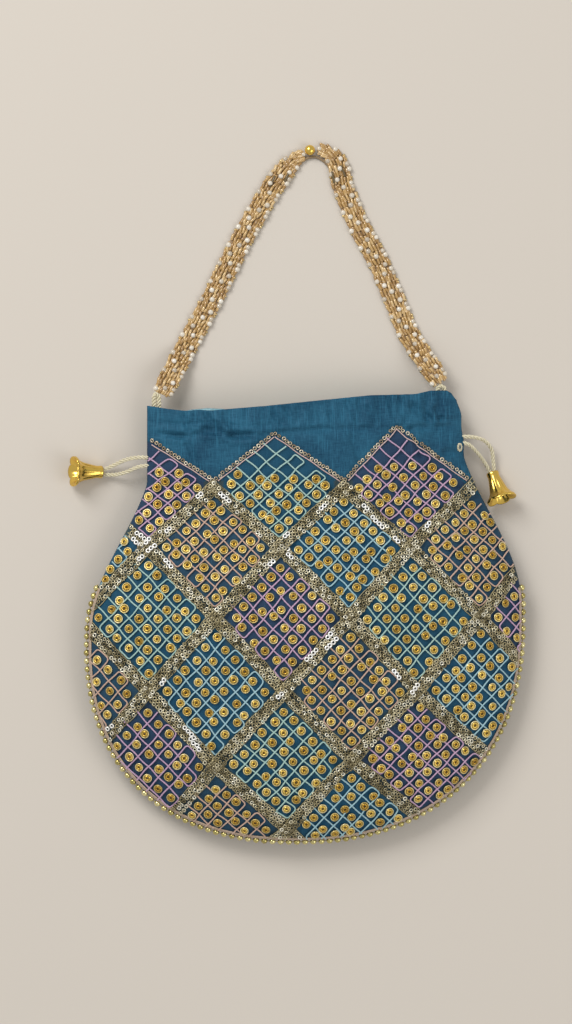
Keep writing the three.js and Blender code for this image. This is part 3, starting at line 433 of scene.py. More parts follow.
def creases(face, x, y):
    """How far the cloth stands out or in from its plain shape: header pleats, casing creases, soft folds."""
    x = np.asarray(x, dtype=float)
    warp = x + 2.3 * np.sin(x / 13.0 + 0.7) + 1.4 * np.sin(x / 5.3 + y / 31.0)
    pleats = (0.52 * np.sin(warp / 1.21) + 0.34 * np.sin(warp / 0.83 + 1.7)
              + 0.30 * np.sin(x / 3.9 + 0.4)) * smooth(y, 100.5, 111)
    crease_at = np.interp(x, *CREASE_LINE)
    depth = 1.4 + 0.4 * np.sin(x / 9.0 + 1.0) + 0.3 * np.sin(x / 3.7)
    crease = -np.clip(depth, 0, CREASE_DEPTH) * np.exp(-((y - crease_at) / 1.5) ** 2)
    crease = crease - 1.0 * smooth(-x, 10, 30) * np.exp(-((y - crease_at - 3.9 + 0.03 * x) / 1.1) ** 2)
    folds = (0.40 * np.sin(warp / 2.7 + 0.6) + 0.3 * np.sin(x / 5.6 - 0.4)) * smooth(y, 55, 92) * (
        1 - 0.6 * smooth(y, 97, 101))
    waves = 0.35 * np.sin(x / 17.0 + y / 23.0) * np.sin(y / 14.0 + 1.0) * smooth(-y, -60, -30)
    if face < 0:
        return 0.8 * (pleats + crease + folds + waves)
    sharp = 0.0
    if np.max(y) > 80:
        for x1, y1, x2, y2, deep, wide in FOLDS:
            long, tall = x2 - x1, y2 - y1
            share = np.clip(((x - x1) * long + (y - y1) * tall) / (long ** 2 + tall ** 2), 0, 1)
            apart = np.hypot(x - x1 - share * long, y - y1 - share * tall)
            shoulder = 0.45 * np.exp(-((apart - 2.2 * wide) / wide) ** 2)
            sharp = sharp - FOLD_SHARPNESS * deep * (np.exp(-(apart / wide) ** 2) - shoulder)
    return pleats + crease + folds + waves + sharp


def skin_z(face, x, y, depth=0.0):
    """Height of a skin of the bag over the floor, in millimetres, depth in from the silk's outside."""
    inset = 2 * depth
    left = seam_x(-1, y, inset)
    right = seam_x(1, y, inset)
    across = np.clip((2 * x - left - right) / np.maximum(right - left, 1e-6), -1, 1)
    swell = np.clip(1 - across**2, 0, 1)
    # The folds fade towards the seam, which stays where it is.
    away = 0.03 + stand_off(DOME[face], y, depth) * swell**0.62
    away = away + creases(face, x, y) * np.clip(swell * 3, 0, 1)
    return np.maximum(depth, SEAM_HEIGHT + face * away)


def mouth_dip(face, x, height):
    return np.interp(x, *MOUTH_DIP[face]) * smooth(height, 100, 117)


def row_ends(face, height, tilt, inset):
    """Where a row of the cloth meets the side seams, left and right."""
    ends = []
    for side in (-1, 1):
        x = float(seam_x(side, height, inset))
        ends.append(float(seam_x(side, height + tilt * x + float(mouth_dip(face, x, height)), inset)))
    return ends


def cloth_row(face, height, depth, across):
    """One row of points over a skin, from seam to seam."""
    tilt = MOUTH[face][1] * float(smooth(height, 39, CASING_TOP))
    left, right = row_ends(face, height, tilt, 2 * depth)
    x = left + (right - left) * (across + 1) / 2
    y = height + tilt * x + mouth_dip(face, x, height)
    return np.stack([x, y, skin_z(face, x, y, depth)], axis=1)


def panel_rows(face, depth, low_rows, high_rows, columns):
    """Rows of points over one skin, from its foot up to the mouth, closer together near the seams."""
    heights = list(-(BELLY_DROP - 2 * depth) * np.cos(np.linspace(0, np.pi / 2, low_rows + 1))[:-1])
    heights += list(np.linspace(0, MOUTH[face][0], high_rows + 1))
    even = np.linspace(-1, 1, columns + 1)
    across = 0.55 * np.sin(even * np.pi / 2) + 0.45 * even
    return [cloth_row(face, height, depth, across) for height in heights]


def cloth_shell(name, outer, inner, material):
    """A thin closed cloth between two skins of the same rows."""
    count = len(outer[0])
    points = np.concatenate([np.concatenate(outer), np.concatenate(inner)]) * MM
    skin = len(outer) * count
    faces = []
    for i in range(len(outer) - 1):
        for j in range(count - 1):
            a = i * count + j
            faces.append((a, a + 1, a + count + 1, a + count))
            faces.append((skin + a, skin + a + count, skin + a + count + 1, skin + a + 1))
    edge = list(range(count))
    edge += [i * count + count - 1 for i in range(1, len(outer))]
    edge += [(len(outer) - 1) * count + j for j in range(count - 2, -1, -1)]
    edge += [i * count for i in range(len(outer) - 2, 0, -1)]
    for a, b in zip(edge, edge[1:] + edge[:1]):
        faces.append((b, a, skin + a, skin + b))
    made = placed(name, points, faces=faces)
    face_outwards(made)
    return finished(made, material)


def finished(piece, material):
    """The piece in its material, shaded as one smooth surface."""
    piece.data.materials.append(material)
    piece.data.polygons.foreach_set("use_smooth", [True] * len(piece.data.polygons))
    return piece


def face_outwards(piece):
    """Doubles merged and every face turned to the outside."""
    work = bmesh.new()
    work.from_mesh(piece.data)
    bmesh.ops.remove_doubles(work, verts=work.verts, dist=1e-6)
    bmesh.ops.dissolve_degenerate(work, edges=work.edges, dist=1e-7)
    bmesh.ops.recalc_face_normals(work, faces=work.faces)
    work.to_mesh(piece.data)
    work.free()


def woven_silk_effect():
    """Slub silk: fine crossed yarns, with thicker slubs running across and a cloudy change of shade."""
    tree, start, end = new_effect(
        "slub weave",
        [("Dark", "Color", (0, 0, 0, 1)), ("Light", "Color", (1, 1, 1, 1)), ("Slubs", "Float", 1.0)],
        [("Color", "Color"), ("Height", "Float"), ("Roughness", "Float")],
    )
    place = node(tree, "ShaderNodeTexCoord").outputs["Object"]
    yarns = []
    for scale, detail in (((240, 4200, 240), 3.0), ((3600, 300, 300), 3.0), ((1500, 70, 90), 2.0)):
        along = node(tree, "ShaderNodeMapping", inputs={"Vector": place, "Scale": scale})
        yarns.append(noise(tree, along.outputs[0], 1.0, detail))
    weft, warp, slub = yarns
    thick = spread(tree, slub, 0.56, 0.72)
    fine = spread(tree, reckon(tree, "ADD", weft, warp), 0.78, 1.22)
    cloud = reckon(tree, "MULTIPLY_ADD", noise(tree, place, 46.0, 3.0), 1.7, -0.60)
    share = reckon(tree, "MULTIPLY_ADD", fine, 0.55, cloud)
    share = reckon(tree, "MULTIPLY_ADD", thick, start.outputs["Slubs"], share, use_clamp=True)
    tree.links.new(mixed(tree, share, start.outputs["Dark"], start.outputs["Light"]), end.inputs["Color"])
    tree.links.new(reckon(tree, "ADD", fine, thick), end.inputs["Height"])
    tree.links.new(spread(tree, fine, 0.0, 1.0, 0.72, 0.52), end.inputs["Roughness"])
    return tree


SLUB_WEAVE = woven_silk_effect()


def silk(name, dark, light, slubs, ground="", **sockets):
    made, tree, shader = surface(name, dark, 0.5, **sockets)
    weave = node(tree, "ShaderNodeGroup", node_tree=SLUB_WEAVE,
                 inputs={"Dark": (*dark, 1), "Light": (*light, 1), "Slubs": slubs})
    bump = node(tree, "ShaderNodeBump",
                inputs={"Height": weave.outputs["Height"], "Strength": 0.5, "Distance": 0.12 * MM})
    colour = weave.outputs["Color"]
    # The front's ground colour goes over the weave: thread tint with painted shade inside the tiles, olive
    # stitch colour under the bands.
    if ground:
        worked = node(tree, "ShaderNodeAttribute", attribute_name=ground)
        colour = mixed(tree, worked.outputs["Alpha"], colour, worked.outputs["Color"])
    tree.links.new(colour, shader.inputs["Base Color"])
    tree.links.new(weave.outputs["Roughness"], shader.inputs["Roughness"])
    tree.links.new(bump.outputs[0], shader.inputs["Normal"])
    return made


SILK_SLUBS = 0.65
SILK_THICKNESS = 0.9
teal_silk = silk("teal slub silk", SILK_DARK, SILK_LIGHT, SILK_SLUBS, sheen_weight=0.03,
                 specular_ior_level=0.16)
worked_silk = silk("worked teal silk", SILK_DARK, SILK_LIGHT, SILK_SLUBS, ground="ground", sheen_weight=0.03,
                   specular_ior_level=0.16)
# The front shows its folds, so it has the finer rows.
PANELS = ((1, "front", 130, 180, worked_silk), (-1, "back", 60, 120, teal_silk))
for face, side, high_rows, columns, material in PANELS:
    panel = cloth_shell(f"silk_{side}", panel_rows(face, 0.0, 50, high_rows, columns),
                        panel_rows(face, SILK_THICKNESS, 50, high_rows, columns), material)
    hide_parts(f"{side}_panel")
    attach(panel, "root")


# The lining: plain aqua satin, cut as the silk and sewn to it along the mouth.
# With the silk it makes the casing that the draw cords run in.
LINING_DARK = (0.20, 0.40, 0.46)
LINING_LIGHT = (0.36, 0.60, 0.66)
LINING_EASE = 1.2
CASING_ROOM = 4.0
CASING_RAMP = 5.5
aqua_satin = silk("aqua satin", LINING_DARK, LINING_LIGHT, 0.1, sheen_weight=0.15)


def lining_depth(height):
    """How deep the lining lies: near the silk, and further in where the casing leaves the cords their way."""
    over_foot = smooth(height, CASING_FOOT - CASING_RAMP, CASING_FOOT)
    over_top = smooth(height, CASING_TOP, CASING_TOP + CASING_RAMP)
    return 1 + LINING_EASE + (CASING_ROOM - LINING_EASE) * (over_foot * (1 - over_top))


def lining_rows(face, extra, rows, columns):
    """Rows over one skin of the lining, which steps in behind the casing."""
    low = list(-(BELLY_DROP - 5) * np.cos(np.linspace(0, np.pi / 2, rows + 1))[:-1])
    across = np.sin(np.linspace(-1, 1, columns + 1) * np.pi / 2)
    return [cloth_row(face, height, float(lining_depth(height)) + extra, across)
            for height in low + list(np.linspace(0, MOUTH[face][0] - 0.1, rows + 1))]


for face, side in ((1, "front"), (-1, "back")):
    lining = cloth_shell(
        f"satin_lining_{side}", lining_rows(face, 0.0, 34, 60), lining_rows(face, 0.8, 34, 60), aqua_satin)
    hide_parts(f"lining_{side}")
    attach(lining, "root")


# The thread nets: silk thread couched on the front in diamonds, each tile two threads that wind
# to and fro at right angles, closing every second cell at the tile's edge.
CROSSING_ROWS = [
    (100.3, -2, -77.3, 60.8, 0.06), (72.2, -1, -46.6, 64.6, 0), (42.3, -2, -79.3, 65, 0),
    (7.6, -3, -113, 66.4, 0), (-28.7, -2, -79.3, 66.5, 0), (-63.8, -1, -46.5, 67.5, 0.044),
    (-96.5, 0, -10, 66, 0.08), (-130, -1, -44, 66, 0),
]
TILE_ROWS = [[-2, 0, 2], [-3, -1, 1, 3], [-2, 0, 2, 4], [-3, -1, 1, 3], [-2, 0, 2], [-1, 1]]
TILE_THREADS = [["mint", "mauve"], ["copper", "sky"]]
THREAD_COLOURS = {
    "mauve": ((0.62, 0.42, 0.58), (0.36, 0.20, 0.34)),
    "mint": ((0.45, 0.66, 0.60), (0.22, 0.38, 0.35)),
    "sky": ((0.42, 0.64, 0.70), (0.18, 0.36, 0.42)),
    "copper": ((0.68, 0.47, 0.37), (0.38, 0.23, 0.16)),
}
# The silk's colour between the threads: tinted by the threads, and darkened with painted shade where the
# threads shade it.
GROUND = {"mauve": (0.022, 0.032, 0.074), "mint": (0.008, 0.058, 0.108), "sky": (0.008, 0.060, 0.118),
          "copper": (0.020, 0.045, 0.078)}
BAND_HALF_WIDTH = 3.1
BORDER_HALF_WIDTH = 1.35
THREAD_RADIUS = 0.43
SEAM_MARGIN = 1.8
THREAD_MARGIN = 0.8
# A stretch of thread with fewer points than this is left out.
SHORTEST_RUN = 5
CELLS = 6


def crossing(line, step):
    height, first_step, first_x, pitch, tilt = CROSSING_ROWS[line]
    x = first_x + pitch * (step - first_step) / 2
    return np.array([x, height + tilt * x])


def on_front(place, margin):
    if place[1] < margin - BELLY_DROP:
        return False
    return float(seam_x(-1, place[1], margin)) < place[0] < float(seam_x(1, place[1], margin))


def drawn_in(place, margin=SEAM_MARGIN):
    """A place past the seam's margin, drawn straight in towards the middle of the belly."""
    if on_front(place, margin):
        return place
    inner, outer = 0.0, 1.0
    for _ in range(14):
        half = (inner + outer) / 2
        if on_front(place * half, margin):
            inner = half
        else:
            outer = half
    return place * inner


def on_silk(place, height):
    """A point over the front silk, in metres, and the way out of the cloth there."""
    x, y = float(place[0]), float(place[1])
    near = 0.4
    z = skin_z(1, np.array([x, x + near, x - near, x, x]), np.array([y, y, y, y + near, y - near]))
    out = Vector(((z[2] - z[1]) / (2 * near), (z[4] - z[3]) / (2 * near), 1)).normalized()
    return (Vector((x, y, float(z[0]))) + out * height) * MM, out


class Tile:
    """One diamond of the lattice, with places counted in cells from its top corner."""

    def __init__(self, line, step, thread, bare, reach):
        self.thread = thread
        self.bare = bare
        self.reach = reach
        self.top = crossing(line, step)
        self.right = crossing(line + 1, step + 1)
        self.left = crossing(line + 1, step - 1)
        self.bottom = crossing(line + 2, step)
        span = (np.linalg.norm(self.top - self.right) + np.linalg.norm(self.left - self.bottom)) / 2
        self.inset = (BAND_HALF_WIDTH + 0.3) / span
        self.top_inset = (BORDER_HALF_WIDTH + 0.5) / span if line == 0 else self.inset

    def place(self, i, j):
        u = self.top_inset + (1 - self.inset - self.top_inset) * i / CELLS
        v = self.top_inset + (1 - self.inset - self.top_inset) * j / CELLS
        upper = self.top + (self.right - self.top) * u
        lower = self.left + (self.bottom - self.left) * u
        return upper + (lower - upper) * v


tiles = []
for line, steps in enumerate(TILE_ROWS):
    for number, step in enumerate(steps):
        thread = TILE_THREADS[line % 2][1 if abs((step + line) // 2) % 2 == 1 else 0]
        bare = (4 if thread == "mint" else 3) if line == 0 else 0
        # The last tile at the lower right has no band under it and runs on to the seam.
        tile = Tile(line, step, thread, bare, CELLS + 2 if (line, step) == (4, 2) else CELLS)
        tile.node = f"tile_{thread}_{line + 1}_{number + 1}"
        tiles.append(tile)


silk_front = bpy.data.objects["silk_front"].data
silk_places = np.empty(3 * len(silk_front.vertices))
silk_front.vertices.foreach_get("co", silk_places)
silk_places = silk_places.reshape(-1, 3)[:, :2] / MM
ground = np.zeros((len(silk_places), 4))
for tile in tiles:
    beyond = (tile.reach / CELLS - 1) * (tile.right - tile.top)
    corners = [tile.top, tile.left, tile.bottom + beyond, tile.right + beyond]
    inside = np.ones(len(silk_places), dtype=bool)
    for a, b in zip(corners, corners[1:] + corners[:1]):
        inside &= (b - a)[0] * (silk_places[:, 1] - a[1]) > (b - a)[1] * (silk_places[:, 0] - a[0])
    # Inside each tile the silk takes its thread's tint, with painted shade.
    ground[inside] = (*GROUND[tile.thread], 0.7)
silk_front.attributes.new("ground", "FLOAT_COLOR", "POINT").data.foreach_set("color", ground.ravel())


def winding(first, last):
    """A to-and-fro route over a tile in cells: its lines and the turns that close every second cell."""
    corners = []
    for k in range(first, last + 1):
        ends = (0, CELLS) if (k - first) % 2 == 0 else (CELLS, 0)
        corners += [(ends[0], k), (ends[1], k)]
    return corners


def rounded(corners, radius, step):
    """A polyline in cells with its corners rounded, as closely spaced places."""
    line = []
    for k, corner in enumerate(corners):
        here = np.array(corner, dtype=float)
        if k in (0, len(corners) - 1):
            line.append(here)
            continue
        before = np.array(corners[k - 1], dtype=float)
        after = np.array(corners[k + 1], dtype=float)
        back = (before - here) / np.linalg.norm(before - here)
        ahead = (after - here) / np.linalg.norm(after - here)
        for t in np.linspace(0, 1, 5):
            line.append(here + radius * (back * (1 - t) ** 2 + ahead * t**2))
    dense = []
    for a, b in zip(line, line[1:]):
        count = max(1, int(round(np.linalg.norm(b - a) / step)))
        dense += [a + (b - a) * k / count for k in range(count)]
    return dense + [line[-1]]


def runs_on_front(places, height, wander, seed):
    """The stretches of a thread that are clear of the seam, laid on the silk with a slight wander."""
    chance = random.Random(seed)
    phases = [chance.uniform(0, 6.28) for _ in range(4)]
    runs = [[]]
    for k, place in enumerate(places):
        sway = np.array([
            math.sin(k * 0.19 + phases[0]) + 0.6 * math.sin(k * 0.47 + phases[1]),
            math.sin(k * 0.17 + phases[2]) + 0.6 * math.sin(k * 0.43 + phases[3]),
        ]) * wander
        if on_front(place + sway, THREAD_MARGIN):
            runs[-1].append(on_silk(place + sway, height)[0])
        else:
            runs.append([])
    return [run for run in runs if len(run) >= SHORTEST_RUN]


def couched_thread_tree():
    """A thread along a line, pinched at each stitch that holds it."""
    tree, start, end = new_tree(
        "couched thread",
        [("Radius", "Float", None), ("Step", "Float", None), ("Stitch", "Float", None),
         ("Pinch", "Float", None), ("Sides", "Int", 6), ("Material", "Material", None)],
    )
    curve = node(tree, "GeometryNodeMeshToCurve", inputs={"Mesh": start.outputs["Geometry"]})
    even = node(tree, "GeometryNodeResampleCurve", mode="LENGTH",
                inputs={"Curve": curve.outputs[0], "Length": start.outputs["Step"]})
    walked = node(tree, "GeometryNodeSplineParameter").outputs["Length"]
    wave = reckon(tree, "PINGPONG", reckon(tree, "DIVIDE", walked, start.outputs["Stitch"]), 0.5)
    body = node(tree, "GeometryNodeCurveToMesh",
                inputs={"Curve": stored(tree, even.outputs[0], "along", walked),
                        "Profile Curve": marked_ring(tree, start.outputs["Sides"], start.outputs["Radius"]),
                        "Fill Caps": True,
                        "Scale": reckon(tree, "MULTIPLY_ADD", wave, start.outputs["Pinch"], 1.0)})
    return close_tree(tree, body.outputs[0], start, end)


COUCHED_THREAD = couched_thread_tree()


def couched(name, lines, radius, step, stitch, pinch, sides, material):
    """Threads laid along lines and stitched down, as one plain mesh, with their sizes in millimetres."""
    return grown(
        lines_object(name, lines), COUCHED_THREAD,
        {"Radius": radius * MM, "Step": step * MM, "Stitch": stitch * MM, "Pinch": pinch, "Sides": sides,
         "Material": material},
    )


for number, (colour, (light, shade)) in enumerate(THREAD_COLOURS.items()):
    runs = []
    for k, tile in enumerate(t for t in tiles if t.thread == colour):
        # One thread turns at the lower right edge only, and goes under the sequin band at the other.
        end = tile.reach
        hairpins = [[(-0.3, j), (end, j), (end, j + 1), (-0.3 if j < CELLS - 1 else end - 1, j + 1)]
                    for j in range(1, CELLS, 2)]
        for turn, corners in enumerate([[(b, a) for a, b in winding(1, end - 1)], *hairpins]):
            route = [tile.place(*p) for p in rounded(corners, 0.22, 0.12)]
            height = 0.87 if turn == 0 else 0.62
            runs += runs_on_front(route, height, 0.24, 100 * number + 10 * k + turn)
    net_silk = spun(f"{colour} silk thread", light, shade, 2600.0, 0.08 * MM, 0.5, sheen_weight=0.4)
    net = couched(f"net_{colour}", runs, THREAD_RADIUS, 0.9, 2.1, -0.5, 6, net_silk)
    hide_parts(*[t.node for t in tiles if t.thread == colour])
    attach(net, "root")


# The studs: one in nearly every cell, a pale rim round a coil of gold wire with a dark eye, sewn by hand.
# They sit a little off their places, so that some touch.
STUD_RADIUS = 2.35
STUD_STRAY = 1.1
STUD_STRAY_MOST = 1.9
# The tile cut by the seam at the upper left has its few studs at these places.
EDGE_STUDS = {"tile_sky_2_1": [(-90.9, 45.2), (-89.0, 40.1), (-93.6, 36.2), (-97.4, 31.2), (-100.6, 26.4)]}
studs_placed = []
chance = random.Random(41)
for tile in tiles:
    if tile.node in EDGE_STUDS:
        studs_placed += [drawn_in(np.array(place), SEAM_MARGIN + 0.6) for place in EDGE_STUDS[tile.node]]
        continue
    for i in range(tile.reach):
        for j in range(CELLS):
            middle = tile.place(i + 0.5, j + 0.5)
            if i + j < tile.bare or not on_front(middle, SEAM_MARGIN):
                continue
            reach = min(STUD_STRAY_MOST, abs(chance.gauss(0, STUD_STRAY)))
            way = chance.uniform(0, math.tau)
            place = middle + reach * np.array([math.cos(way), math.sin(way)])
            if any(np.linalg.norm(place - other) < 2 * STUD_RADIUS - 0.4 for other in studs_placed[-60:]):
                place = middle + 0.3 * (place - middle)
            studs_placed.append(drawn_in(place, SEAM_MARGIN + 1.5))


def piece_mesh(name, rings, wrap=True, cap=False):
    """A small piece for repeating, from rings of points."""
    points = [tuple(p) for ring in rings for p in ring]
    sides = len(rings[0])
    faces = []
    pairs = list(zip(range(len(rings)), range(1, len(rings))))
    if wrap:
        pairs.append((len(rings) - 1, 0))
    for a, b in pairs:
        for k in range(sides):
            n = (k + 1) % sides
            faces.append((a * sides + k, a * sides + n, b * sides + n, b * sides + k))
    if cap:
        faces.append(tuple(reversed(range(sides))))
        faces.append(tuple(range((len(rings) - 1) * sides, len(rings) * sides)))
    made = placed(name, points, faces=faces)
    face_outwards(made)
    return made


def wire_ring(name, radius, wire, count, sides, ripple=0.0, flat=1.0):
    """A ring of wire lying flat, whose coils show as a ripple round it."""
    rings = []
    for k in range(count):
        turn = math.tau * k / count
        thick = wire * (1 + (ripple if k % 2 else -ripple))
        ring = []
        for s in range(sides):
            around = math.tau * (s + 0.5) / sides
            out = radius + thick * math.cos(around)
            ring.append((out * math.cos(turn), out * math.sin(turn), flat * thick * math.sin(around)))
        rings.append(ring)
    return piece_mesh(name, rings)


def ball(name, radius, sides, levels, tall=1.0, hole=0.12):
    """A bead with its thread hole shut by a small flat at each end of Z."""
    rings = []
    for k in range(levels + 1):
        lean = math.pi * (hole + (1 - 2 * hole) * k / levels)
        rings.append([
            (radius * math.sin(lean) * math.cos(math.tau * s / sides),
             radius * math.sin(lean) * math.sin(math.tau * s / sides), tall * radius * math.cos(lean))
            for s in range(sides)
        ])
    return piece_mesh(name, rings, wrap=False, cap=True)


def sewn_pieces_tree():
    """The same small piece at every point, turned to the point's own two ways, each of its own tint."""
    tree, start, end = new_tree(
        "sewn pieces",
        [("Piece", "Object", None), ("Lean", "Float", 0.0), ("Seed", "Int", 0), ("Size low", "Float", 1.0),
         ("Size high", "Float", 1.0), ("Material", "Material", None)],
    )
    piece = node(tree, "GeometryNodeObjectInfo", inputs={"Object": start.outputs["Piece"]})
    out = node(tree, "GeometryNodeInputNamedAttribute", data_type="FLOAT_VECTOR", inputs={"Name": "facing"})
    ahead = node(tree, "GeometryNodeInputNamedAttribute", data_type="FLOAT_VECTOR", inputs={"Name": "ahead"})
    up = node(tree, "FunctionNodeAlignRotationToVector", axis="Z", inputs={"Vector": out.outputs[0]})
    turned = node(tree, "FunctionNodeAlignRotationToVector", axis="X", pivot_axis="Z",
                  inputs={"Rotation": up.outputs[0], "Vector": ahead.outputs[0]})
    lean_back = node(tree, "ShaderNodeMath", operation="MULTIPLY", inputs={0: start.outputs["Lean"], 1: -1.0})
    low = node(tree, "ShaderNodeCombineXYZ", inputs={"X": lean_back.outputs[0], "Y": lean_back.outputs[0]})
    high = node(tree, "ShaderNodeCombineXYZ",
                inputs={"X": start.outputs["Lean"], "Y": start.outputs["Lean"], "Z": 0.0})
    lean = node(tree, "FunctionNodeRandomValue", data_type="FLOAT_VECTOR",
                inputs={0: low.outputs[0], 1: high.outputs[0], "Seed": start.outputs["Seed"]})
    lean_turn = node(tree, "FunctionNodeEulerToRotation", inputs={0: lean.outputs[0]})
    laid = node(tree, "FunctionNodeRotateRotation", rotation_space="LOCAL",
                inputs={0: turned.outputs[0], 1: lean_turn.outputs[0]})
    size = node(tree, "FunctionNodeRandomValue", data_type="FLOAT",
                inputs={2: start.outputs["Size low"], 3: start.outputs["Size high"],
                        "Seed": start.outputs["Seed"]})
    spread_out = node(tree, "GeometryNodeInstanceOnPoints",
                      inputs={"Points": start.outputs["Geometry"], "Instance": piece.outputs["Geometry"],
                              "Rotation": laid.outputs[0], "Scale": size.outputs[1]})
    tint = node(tree, "FunctionNodeRandomValue", data_type="FLOAT", inputs={2: 0.0, 3: 1.0, "Seed": 7})
    marked = stored(tree, spread_out.outputs[0], "tint", tint.outputs[1], "INSTANCE")
    return close_tree(tree, marked, start, end)


SEWN_PIECES = sewn_pieces_tree()


def places_object(name, spots):
    """Loose points, each with the way it faces and the way ahead."""
    made = placed(name, [spot[0] for spot in spots])
    for number, label in ((1, "facing"), (2, "ahead")):
        ways = made.data.attributes.new(label, "FLOAT_VECTOR", "POINT")
        ways.data.foreach_set("vector", [c for spot in spots for c in spot[number]])
    return made


def sewn(name, spots, piece, material, lean=0.0, seed=1, sizes=(1.0, 1.0)):
    """The piece sewn at each of the spots, as one plain mesh."""
    return grown(
        places_object(name, spots), SEWN_PIECES,
        {"Piece": piece, "Lean": lean, "Seed": seed, "Size low": sizes[0], "Size high": sizes[1],
         "Material": material},
    )


def away_with(*pieces):
    for piece in pieces:
        bpy.data.objects.remove(piece)


def tinted(name, colours, roughness, spots=0.0, **sockets):
    """A material whose pieces each take their own colour between the given ones."""
    made, tree, shader = surface(name, colours[0], roughness, **sockets)
    tint = node(tree, "ShaderNodeAttribute", attribute_name="tint")
    ramp = node(tree, "ShaderNodeValToRGB", inputs={0: tint.outputs["Fac"]})
    ramp.color_ramp.elements[0].color = (*colours[0], 1)
    ramp.color_ramp.elements[-1].color = (*colours[-1], 1)
    for k, colour in enumerate(colours[1:-1], 1):
        ramp.color_ramp.elements.new(k / (len(colours) - 1)).color = (*colour, 1)
    colour = ramp.outputs[0]
    if spots:
        place = node(tree, "ShaderNodeTexCoord").outputs["Object"]
        dark = spread(tree, noise(tree, place, 1800.0, 2.0), 0.35, 0.6, 1 - spots, 1.0)
        colour = mixed(tree, 1.0, colour, dark, blend_type="MULTIPLY")
    tree.links.new(colour, shader.inputs["Base Color"])
    return made


def gather(*pieces, name):
    """Several pieces joined as one mesh, with their materials."""
    bpy.ops.object.select_all(action="DESELECT")
    for piece in pieces:
        piece.select_set(True)
    bpy.context.view_layer.objects.active = pieces[0]
    bpy.ops.object.join()
    pieces[0].name = name
    return pieces[0]


rim_gilt = tinted("pale gilt rim", [(0.60, 0.46, 0.15), (0.76, 0.62, 0.26), (0.90, 0.78, 0.42)], 0.28,
                  spots=0.3, metallic=0.5)
stud_gold = tinted("coiled gold wire", [(0.52, 0.30, 0.04), (0.70, 0.44, 0.07), (0.88, 0.61, 0.13)], 0.27,
                   spots=0.6, metallic=0.7)
dark_amber = tinted("dark amber eye", [(0.06, 0.025, 0.004), (0.16, 0.07, 0.010)], 0.2, coat_weight=0.6)
BEAD_WAY = (1, 0, 0)
spots = [(*on_silk(place, 1.0), BEAD_WAY) for place in studs_placed]
rim = wire_ring("stud rim", 1.97 * MM, 0.38 * MM, 18, 4)
coil = wire_ring("stud coil", 1.1 * MM, 0.68 * MM, 14, 4, ripple=0.12, flat=1.05)
eye = ball("stud eye", 0.5 * MM, 6, 2, tall=1.0)
studs = gather(
    sewn("stud rims", spots, rim, rim_gilt, lean=0.14, seed=3, sizes=(0.93, 1.06)),
    sewn("stud coils", spots, coil, stud_gold, lean=0.14, seed=3, sizes=(0.93, 1.06)),
    sewn("stud eyes", spots, eye, dark_amber, lean=0.14, seed=3, sizes=(0.93, 1.06)),
    name="gold_studs",
)
away_with(rim, coil, eye)
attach(studs, "root")


# The sequin bands: three uneven rows of champagne ring sequins between couched gold threads, with runs of
# them painted near-white as a glint.
# The falling bands lie under the rising ones where they cross.
SEQUIN_PITCH = 2.1
FALLING = [(1, -1, 5), (1, 1, 4), (1, -3, 7), (3, -3, 5)]
RISING = [(1, -1, 3), (1, 1, 6), (0, 4, 7), (2, 4, 6)]


class StopLine:
    """A line through stops, in millimetres, with a straight run between each two."""

    def __init__(self, stops):
        self.stops = stops
        self.marks = [0.0]
        for a, b in zip(stops, stops[1:]):
            self.marks.append(self.marks[-1] + float(np.linalg.norm(b - a)))
        self.total = self.marks[-1]

    def place(self, s):
        i = 1
        while i < len(self.marks) - 1 and s > self.marks[i]:
            i += 1
        share = (s - self.marks[i - 1]) / (self.marks[i] - self.marks[i - 1])
        return self.stops[i - 1] + (self.stops[i] - self.stops[i - 1]) * share

    def way(self, s):
        step = self.place(min(s + 0.6, self.total)) - self.place(max(s - 0.6, 0))
        return step / np.linalg.norm(step)

    def beside(self, s, aside):
        way = self.way(s)
        return self.place(s) + aside * np.array([way[1], -way[0]])


# Where the window's glint is painted on the sequins, as near-white ones, with its reach to the sides and up.
GLINTS = [(-63, 44.5, 17, 8), (-85.5, 47.5, 6, 5)]
CHAMPAGNES = [(0.15, 0.12, 0.05), (0.44, 0.37, 0.20), (0.68, 0.61, 0.40), (0.94, 0.90, 0.74)]
champagne = tinted("champagne sequin", CHAMPAGNES, 0.24, spots=0.5, metallic=0.6, coat_weight=0.3)
# A near-white sequin colour that is a painted reflection of the window, for the sequins that glint.
painted_glint_sequin = tinted("bright sequin", [(0.84, 0.82, 0.76), (0.95, 0.95, 0.93)], 0.16, metallic=0.3,
                       coat_weight=0.8)
zari = spun("pale gold thread", (0.58, 0.50, 0.28), (0.28, 0.23, 0.11), 2400.0, 0.08 * MM, 0.4, metallic=0.4)
sequin = wire_ring("sequin", 0.84 * MM, 0.42 * MM, 10, 4, flat=0.5)
SEQUIN_ROWS = (-2.0, -0.05, 1.95)
GOLD_THREADS = (-2.9, 0.9, 2.9)
CROSSING_RISE = 1.3
CROSSING_FLAT = 4.8
CROSSING_RAMP = 3.4
# How often a run of sequins painted near-white as a glint starts, in the glints and elsewhere.
LIT_CHANCE = 0.13
PLAIN_CHANCE = 0.012


def climb(line, s, climbs):
    """How much higher a rising band lies where it crosses a falling one."""
    if not climbs:
        return 0.0
    near = min(abs(s - mark) for mark in line.marks)
    return CROSSING_RISE * (1 - float(np.clip((near - CROSSING_FLAT) / CROSSING_RAMP, 0, 1)))


def in_glint(place):
    return any(math.hypot((place[0] - x) / wide, (place[1] - y) / tall) < 1 for x, y, wide, tall in GLINTS)


